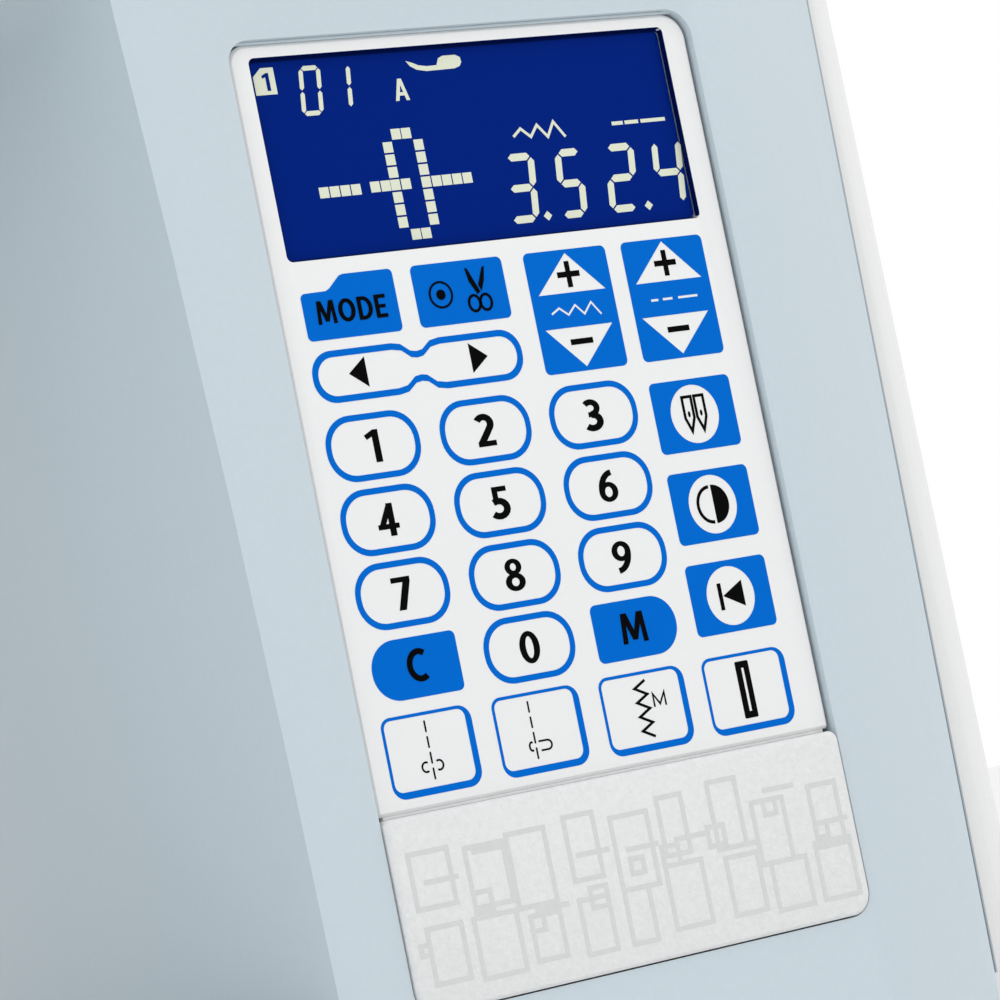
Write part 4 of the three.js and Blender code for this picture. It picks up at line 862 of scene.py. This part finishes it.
class SEWING_OT_display(bpy.types.Operator):
    """Fill the display with its segments"""

    bl_idname = "sewing.display"
    bl_label = "Display"

    def execute(self, context):
        self.origin = Vector((CORNER.x + 0.55 * MM, GLASS[0].y, CORNER.z + 0.19 * MM))
        self.inner_edge()
        self.numbers()
        self.stitch()
        self.marks()
        return {"FINISHED"}

    def show(self, name, outlines, material="segment", lift=PRINT):
        return printed(name, outlines, self.origin, "body", material, lift)

    def inner_edge(self):
        """Painted shade: a dark band where the glass meets the window's edge, heavier above and on the right, and a
        dark ring on the window's inner wall where it lies in shade.
        """
        window = rounded(2.4, -29.0, 67.5, -1.4, 0.4)
        self.show("display_edge", [window, rounded(3.0, -28.3, 66.9, -2.4, 0.5)], "window_edge")
        depth = GLASS[0].y - TILE[0].y
        # Painted shade: a dark ring half way down the window's wall.
        lining = [rounded(3.55, -28.2, 67.49, -1.75, 0.5), rounded(3.63, -28.12, 67.38, -1.85, 0.45)]
        middle = CORNER + Vector((0, depth / 2 + 0.02 * MM, 0))
        printed("window_lining", lining, middle, "body", "window_edge", depth / 2)

    def numbers(self):
        number = seven_segment("0", 9.75, -9.75, 3.2, 6.5, 0.62) + seven_segment("1", 14.2, -9.4, 3.2, 6.1, 0.62)
        self.show("stitch_number", number)
        width = seven_segment("3", 37.35, -26.45, 4.7, 9.3, 1.0) + seven_segment("5", 45.35, -26.45, 4.35, 9.3, 1.0)
        length = seven_segment("2", 53.3, -26.4, 4.75, 9.3, 1.0) + seven_segment("4", 61.0, -26.3, 4.8, 9.3, 0.95)
        dots = [disc(43.45, -25.8, 0.66, None, 4), disc(59.65, -25.85, 0.66, None, 4)]
        self.show("stitch_width_and_length", width + length + dots)

    def stitch(self):
        """Picture of the chosen stitch in square dots, placed by their upper left corners."""
        pitch, size, line = 1.58, 1.4, -19.0
        dots = [(10.0 + pitch * i, line - 0.1) for i in range(4)] + [(17.6 + pitch * i, line) for i in range(2)]
        dots += [(28.45 + pitch * i, line) for i in range(3)] + [(26.9, line)]
        for v in (-14.05, -15.7, -17.35, -19.0, -20.65, -22.3, -23.95):
            dots += [(20.65, v), (25.3, v)]
        dots += [(22.2, -12.4), (23.75, -12.4), (22.25, -25.65), (23.8, -25.65), (22.25, line)]
        self.show("stitch_picture", [box_of(u, v - size, u + size, v) for u, v in dots])

    def marks(self):
        tab = [(3.75, -6.6), (6.85, -6.6), (6.85, -3.1), (5.0, -3.1), (3.75, -4.2)]
        self.show("page_tab", [tab])
        over = self.origin - Vector((0, 2 * PRINT, 0))
        written("page_number", "1", 5.45, -4.95, 2.3, over, "display", 1.1)
        written("foot_letter", "A", 25.0, -7.35, 2.9, self.origin, "segment", 1.0)
        foot = [(26.5, -3.64), (27.05, -4.39), (27.95, -4.91), (29.44, -5.19), (33.74, -5.13), (34.58, -4.86)]
        foot += [(34.92, -4.35), (34.84, -3.7), (34.14, -3.33), (32.19, -3.34), (31.5, -3.62), (31.07, -4.51)]
        foot += [(29.59, -4.55), (28.31, -4.34), (27.46, -3.96)]
        self.show("foot_icon", [foot])
        zigzag = [(40.6, -14.9), (41.9, -13.9), (43.3, -15.1), (44.55, -13.6), (45.95, -15.3), (47.2, -13.35)]
        dashes = [box_of(a, -14.6, b, -14.1) for a, b in ((56.4, 58.2), (58.5, 60.7), (61.1, 65.1))]
        self.show("width_and_length_icons", stroke(zigzag + [(48.7, -15.5)], 0.38) + dashes)


# --- trim plate
class SEWING_OT_trim(bpy.types.Operator):
    """Lay the trim plate's pattern of crossing line rectangles"""

    bl_idname = "sewing.trim"
    bl_label = "Trim plate"

    CELLS = (108, 31)  # pattern cells across and up
    GROUP = 12  # cells across one group of shapes
    SHARE = 0.962  # of the plate's width

    def execute(self, context):
        cells = self.pattern(context.scene.sewing_keypad.seed)
        wide, high = self.CELLS
        pitch = (PLATE[1].x - PLATE[0].x) * self.SHARE / wide
        middle = (PLATE[0] + PLATE[1]) / 2
        bpy.ops.mesh.primitive_grid_add(
            x_subdivisions=wide, y_subdivisions=high, size=1,
            location=(middle.x, PLATE[0].y, middle.z), rotation=(math.pi / 2, 0, 0),
        )
        lines = bpy.context.object
        lines.scale = (wide * pitch, high * pitch, 1)
        settle(lines)
        corner = Vector((middle.x - wide * pitch / 2, 0, middle.z - high * pitch / 2))

        def is_field(centre, normal):
            column, row = int((centre.x - corner.x) / pitch), int((centre.z - corner.z) / pitch)
            return (column, row) not in cells

        edit(lines)
        choose_faces(lines, is_field)
        bpy.ops.mesh.delete(type="FACE")
        leave_edit()
        wall = lines.modifiers.new("Ink", "SOLIDIFY")
        wall.thickness = PRINT * 2
        wall.offset = 0
        bpy.ops.object.modifier_apply(modifier=wall.name)
        finish(lines, "trim_pattern", "body", "plate_line")
        return {"FINISHED"}

    def pattern(self, seed):
        """Cells under the outlines of rectangles that cross each other, and the links between them."""
        chance = random.Random(seed)
        cells = set()
        wide, high = self.CELLS
        for column in range(0, wide - 8, self.GROUP):
            tall = chance.randrange(12, 19)
            for row, room in ((chance.randrange(0, 2), tall - 1), (tall + chance.randrange(-3, 3), high - 2 - tall)):
                left = column + chance.randrange(0, 4)
                self.outline(cells, left, row, chance.randrange(6, 11), max(5, room - chance.randrange(0, 4)))
            side = chance.randrange(2, 5)
            self.outline(cells, column + chance.randrange(0, 6), chance.randrange(2, high - 8), side, side)
            link = chance.randrange(4, high - 4)
            cells.update((c, link) for c in range(column + 4, min(column + self.GROUP, wide)))
        return cells

    def outline(self, cells, column, row, width, height):
        wide, high = self.CELLS
        right, top = min(column + width, wide - 1), min(row + height, high - 1)
        cells.update((c, r) for c in range(column, right + 1) for r in (row, top))
        cells.update((c, r) for r in range(row, top + 1) for c in (column, right))


# --- controls
class SEWING_OT_controls(bpy.types.Operator):
    """Finish the head's buttons, slider and dial, and print their signs"""

    bl_idname = "sewing.controls"
    bl_label = "Head controls"

    def execute(self, context):
        buttons = ("start_button", "reverse_button", "needle_button", "lock_button", "cutter_button")
        refine_all((button, "soft_white", 0.3, 2, 50) for button in buttons)
        refine_all((("speed_slider", "soft_white", 0.3), ("tension_dial", "soft_white", 0.5, 3, 40)))
        self.signs()
        self.dial_marks()
        return {"FINISHED"}

    def signs(self):
        def on_button(node, name, outlines, material="ink_grey"):
            low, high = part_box(node)
            face = Vector(((low.x + high.x) / 2, low.y, (low.z + high.z) / 2))
            printed(name, outlines, face, body_of(node), material, PRINT, MM)

        on_button("start_button", "start_mark", [[(-2.2, -2.6), (2.9, 0), (-2.2, 2.6)]], "ink_blue")
        turn = stroke(arc(0, 0, 2.4, 2.4, -60, 180, 16), 0.55) + [[(-3.4, 0.1), (-1.3, 0.1), (-2.35, -1.7)]]
        on_button("reverse_button", "reverse_mark", turn)
        needle = [box_of(-0.35, -2.6, 0.35, 2.6), [(1.2, 0.3), (2.8, 0.3), (2.0, 2.1)]]
        on_button("needle_button", "needle_mark", needle + [[(1.2, -0.3), (2.0, -2.1), (2.8, -0.3)]])
        on_button("lock_button", "lock_mark", [disc(0, 0, 2.3), disc(0, 0, 1.7), disc(0, 0, 0.7, None, 16)])
        blades = stroke([(-2.0, 1.6), (1.6, -1.0)], 0.5)
        for x, y in ((2.3, -1.5), (-1.2, -1.6)):
            blades += [disc(x, y, 0.9, None, 20), disc(x, y, 0.5, None, 16)]
        on_button("cutter_button", "cutter_mark", blades)
        low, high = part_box("speed_slider")
        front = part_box("start_button")[0].y + 2.4 * MM
        start = Vector((low.x, front, high.z + 4 * MM))
        wedge = [[(0, 0), (38, 0), (38, 3.2)]]
        printed("speed_wedge", wedge, start, "body", "ink_grey", PRINT, MM)

    def dial_marks(self):
        """Numbers 0 to 9 round the rim of the tension dial."""
        low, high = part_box("tension_dial")
        centre = (low + high) / 2
        radius = (high.z - low.z) / 2
        for i in range(10):
            angle = -126 + 28 * i
            place = centre + Vector((0, -math.cos(math.radians(angle)), math.sin(math.radians(angle)))) * radius
            lettering(
                f"tension_{i}", str(i), place, 3.4 * MM, "tension", "ink_grey",
                (90 - angle, 0, 0), 0.02, 0.9, 0.12 * MM,
            )


# --- needle area
class SEWING_OT_needle_area(bpy.types.Operator):
    """Finish the needle, foot, plate and hook, and print the seam guides"""

    bl_idname = "sewing.needle_area"
    bl_label = "Needle area"

    def execute(self, context):
        refine_all((
            ("needle_plate", "steel", 0.25),
            ("presser_foot", "chrome", 0.25),
            ("foot_holder", "steel", 0.6, 3),
            ("needle_clamp", "steel", 0.4),
            ("presser_lever", "dark", 0.5),
            ("take_up_lever", "chrome", 0.5, 3),
            ("bobbin_cover", "clear", 0.3),
            ("cover_release", "dark", 0.4),
            ("feed_dog", "steel", 0.2),
        ))
        paint("chrome", "needle_bar", "needle", "presser_bar", "rotary_hook")
        paint("dark", "bobbin_case")
        paint("clear", "bobbin")
        paint("lens", "needle_lamp")
        self.guides()
        self.feed_teeth()
        self.knurled_screw()
        self.bobbin_thread()
        return {"FINISHED"}

    def guides(self):
        """Seam guide lines on both sides of the needle, with their distances."""
        low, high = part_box("needle_plate")
        needle = (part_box("needle")[0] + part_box("needle")[1]) / 2
        face = Vector((needle.x, needle.y, high.z))
        lines = []
        for step in (10, 15, 20, 25, 30):
            for side in (-1, 1):
                x = side * step
                if low.x + 2 * MM < needle.x + x * MM < high.x - 2 * MM:
                    lines.append(box_of(x - 0.2, 16, x + 0.2, 28))
                    if step % 10 == 0:
                        place = face + Vector((x * MM, 12.5 * MM, 0))
                        name = f"seam_{'left' if side < 0 else 'right'}_{step}"
                        lettering(name, str(step), place, 3 * MM, "body", "ink_black")
        printed("seam_guides", lines, face, "body", "ink_black", PRINT, MM, LYING)

    def feed_teeth(self):
        """Rows of teeth along the two feed rails."""
        low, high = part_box("feed_dog")
        length, cuts, rise = 17 * MM, 27, 0.1 * MM
        pitch = length / (cuts + 1)
        for side, x in enumerate((low.x + 1.2 * MM, high.x - 1.2 * MM)):
            row = slab((x, low.y + 8.7 * MM, high.z - 0.24 * MM), (2.0 * MM, length, 0.5 * MM))
            edit(row)
            choose_edges(row, lambda a, b: abs(a.y - b.y) > 10 * MM)
            bpy.ops.mesh.subdivide(number_cuts=cuts, quadcorner="STRAIGHT_CUT")
            leave_edit()
            for corner in row.data.vertices:
                count = round((corner.co.y - low.y - 0.2 * MM) / pitch)
                if corner.co.z > high.z - 0.2 * MM and count % 2:
                    corner.co.z += rise
            finish_as(row, f"feed_teeth_{side}", "feed_dog", "steel")

    def knurled_screw(self):
        """Clamp screw with a knurled rim and a dished head."""
        low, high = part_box("clamp_screw")
        screw = rod((low + high) / 2, (high.z - low.z) / 2, high.x - low.x, 48)
        settle(screw)
        edit(screw)
        choose_faces(screw, lambda centre, normal: abs(normal.x) < 0.5)
        bpy.ops.mesh.inset(thickness=0.06 * MM, depth=-0.12 * MM, use_individual=True)
        choose_faces(screw, lambda centre, normal: normal.x > 0.9)
        bpy.ops.mesh.inset(thickness=0.6 * MM)
        bpy.ops.mesh.extrude_region_move(TRANSFORM_OT_translate={"value": (-0.3 * MM, 0, 0)})
        leave_edit()
        finish_as(screw, "clamp_screw_knurled", "clamp_screw", "steel")
        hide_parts("clamp_screw")

    def bobbin_thread(self):
        """Thread wound on the bobbin's core."""
        low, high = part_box("bobbin")
        centre = (low + high) / 2
        bpy.ops.mesh.primitive_torus_add(
            location=centre, major_radius=7.3 * MM, minor_radius=1.2 * MM, major_segments=48, minor_segments=16
        )
        thread = bpy.context.object
        thread.scale = (1, 1, 3.2)
        finish_as(thread, "bobbin_thread", "bobbin", "thread")
        smooth(thread, 60)


# --- top and sides
class SEWING_OT_fittings(bpy.types.Operator):
    """Finish the spool pin, winder, sockets, switch, feet and hidden drive"""

    bl_idname = "sewing.fittings"
    bl_label = "Fittings"

    def execute(self, context):
        refine_all((
            ("spool_pin", "soft_white", 0.4),
            ("winder_spindle", "soft_white", 0.3, 2, 50),
            ("power_inlet", "dark", 0.5),
            ("pedal_jack", "dark", 0.5),
            ("power_switch", "dark", 0.5),
        ))
        refine_all((f"rubber_foot_{i}", "rubber", 0.4, 2, 50) for i in range(1, 5))
        paint("casting", "main_frame")
        paint("steel", "arm_shaft", "lower_shaft", "needle_crank", "motor_pulley")
        paint("grey", "drive_motor", "arm_pulley", "lower_pulley", "winder_carrier")
        paint("rubber", "drive_belt", "timing_belt")
        self.inlet_pins()
        self.switch_marks()
        self.wheel_grips()
        self.table_scale()
        self.felt_washer()
        return {"FINISHED"}

    def inlet_pins(self):
        """Two round contact pins in each socket."""
        for node, spread in (("power_inlet", 5.0), ("pedal_jack", 2.6)):
            low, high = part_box(node)
            middle = (low + high) / 2
            for side in (-1, 1):
                place = (high.x - 5.5 * MM, middle.y + side * spread * MM, middle.z)
                pin = rod(place, 1.1 * MM, 8 * MM, 24)
                round_edges(pin, 0.4 * MM, 3)
                finish(pin, f"{node}_pin_{side + 1}", "body", "brass")

    def switch_marks(self):
        low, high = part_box("power_switch")
        across = (low.y + high.y) / 2
        place = Vector((high.x - 0.9 * MM, across, high.z - 4 * MM))
        facing = (90, -16.5, 90)
        line = [box_of(-0.35, -1.6, 0.35, 1.6)]
        printed("switch_on_mark", line, place, "power", "film_white", PRINT * 4, MM, facing)

    def wheel_grips(self):
        """Ribs round the rim of the handwheel."""
        low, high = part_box("handwheel")
        centre = (low + high) / 2
        radius = (high.z - low.z) / 2 - 0.2 * MM
        count = 60
        ribs = []
        for i in range(count):
            angle = 2 * math.pi * i / count
            place = centre + Vector((-1.0 * MM, math.cos(angle) * radius, math.sin(angle) * radius))
            ribs.append(slab(place, (8 * MM, 1.2 * MM, 1.5 * MM), angle))
        pick(*ribs)
        bpy.ops.object.join()
        grips = bpy.context.object
        round_edges(grips, 0.35 * MM, 2)
        finish(grips, "wheel_grips", "arm_drive", "white")

    def table_scale(self):
        """A centimetre scale along the table's front edge."""
        low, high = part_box("extension_table")
        start = Vector((low.x + 20 * MM, low.y + 8 * MM, high.z))
        marks = []
        for i in range(0, 221, 5):
            length = 5.0 if i % 50 == 0 else (3.6 if i % 10 == 0 else 2.2)
            marks.append(box_of(i - 0.12, -length, i + 0.12, 0))
        printed("table_scale", marks, start, "table", "ink_grey", PRINT, MM, LYING)
        for i in range(0, 23, 2):
            place = start + Vector((i * 10 * MM, 3.2 * MM, 0))
            lettering(f"scale_{i}", str(i), place, 2.6 * MM, "table", "ink_grey")

    def felt_washer(self):
        low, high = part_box("spool_pin")
        place = (high.x - 7.2 * MM, (low.y + high.y) / 2, high.z - 6 * MM)
        bpy.ops.mesh.primitive_torus_add(
            location=place, rotation=(0, math.pi / 2, 0), major_radius=5.2 * MM, minor_radius=1.3 * MM,
            major_segments=40, minor_segments=12,
        )
        washer = bpy.context.object
        finish_as(washer, "felt_washer", "spool_pin", "felt")
        smooth(washer, 60)


# --- stage
class SEWING_OT_stage(bpy.types.Operator):
    """Lay the floor, set the lights and place the camera"""

    bl_idname = "sewing.stage"
    bl_label = "Stage"

    RIGHT = Vector((0.83730296, -0.50984901, -0.19742778))
    UP = Vector((0.12846614, -0.16752611, 0.97746174))
    FORWARD = Vector((0.53143221, 0.8437944, 0.07477177))
    STATION = Vector((-221.2, -391.2, -93.0)) * MM  # camera from the keypad tile's top left corner

    def execute(self, context):
        stage = context.scene.sewing_stage
        context.scene.view_settings.view_transform = "Standard"
        self.floor(stage)
        self.sky(stage)
        self.lights(stage)
        self.camera(stage)
        return {"FINISHED"}

    def floor(self, stage):
        bpy.ops.mesh.primitive_plane_add(size=8)
        floor = bpy.context.object
        floor.name = "floor"
        made, tree, shader = node_material("floor", stage.floor, 0.7)
        grain(tree, shader, 4 * MM, 0.05)
        floor.data.materials.append(made)

    def sky(self, stage):
        world = bpy.data.worlds.new("sky")
        bpy.context.scene.world = world
        world.use_nodes = True
        shade = world.node_tree.nodes["Background"]
        shade.inputs["Color"].default_value = (1, 1, 1, 1)
        shade.inputs["Strength"].default_value = stage.sky

    def lights(self, stage):
        target = Vector((0.06, 0, 0.15))
        for name, place, size, power, colour in (
            ("key_light", (1.5, -0.85, 1.35), 0.7, stage.key_light, (1, 1, 1)),
            ("fill_light", (-1.3, -0.7, 0.7), 1.2, stage.key_light * 0.6, (0.72, 0.9, 1.0)),
        ):
            bpy.ops.object.light_add(type="AREA", location=place)
            light = bpy.context.object
            light.name = name
            light.data.energy = power
            light.data.color = colour
            light.data.size = size
            light.rotation_euler = (target - Vector(place)).to_track_quat("-Z", "Y").to_euler()

    def camera(self, stage):
        lens = bpy.data.cameras.new("camera")
        lens.sensor_width = 36
        lens.lens = stage.lens
        lens.clip_start = 0.01
        camera = add_object("camera", lens)
        turn = Matrix((self.RIGHT, self.UP, -self.FORWARD)).transposed().to_4x4()
        corner = Vector((TILE[0].x, TILE[0].y, TILE[1].z))
        camera.matrix_world = Matrix.Translation(corner + self.STATION) @ turn
        bpy.context.scene.camera = camera


# --- panel and registration
GROUPS = {
    "sewing_finish": SEWING_PG_finish,
    "sewing_keypad": SEWING_PG_keypad,
    "sewing_stage": SEWING_PG_stage,
}
OPERATORS = (
    SEWING_OT_covers,
    SEWING_OT_keypad,
    SEWING_OT_display,
    SEWING_OT_trim,
    SEWING_OT_controls,
    SEWING_OT_needle_area,
    SEWING_OT_fittings,
    SEWING_OT_stage,
)


class SEWING_PT_sidebar(bpy.types.Panel):
    """Sizes, colours and building steps of the sewing machine"""

    bl_label = "Sewing Machine"
    bl_space_type = "VIEW_3D"
    bl_region_type = "UI"
    bl_category = "Sewing"

    def draw(self, context):
        for name, group in GROUPS.items():
            box = self.layout.box()
            for prop in group.__annotations__:
                box.prop(getattr(context.scene, name), prop)
        for operator in OPERATORS:
            self.layout.operator(operator.bl_idname)


def register():
    for group in GROUPS.values():
        bpy.utils.register_class(group)
    for name, group in GROUPS.items():
        setattr(bpy.types.Scene, name, bpy.props.PointerProperty(type=group))
    for operator in OPERATORS:
        bpy.utils.register_class(operator)
    bpy.utils.register_class(SEWING_PT_sidebar)


def unregister():
    bpy.utils.unregister_class(SEWING_PT_sidebar)
    for operator in reversed(OPERATORS):
        bpy.utils.unregister_class(operator)
    for name, group in GROUPS.items():
        delattr(bpy.types.Scene, name)
        bpy.utils.unregister_class(group)


def main():
    register()
    make_materials()
    clear_selection()
    for operator in OPERATORS:
        family, step = operator.bl_idname.split(".")
        getattr(getattr(bpy.ops, family), step)()


if __name__ == "__main__":
    main()
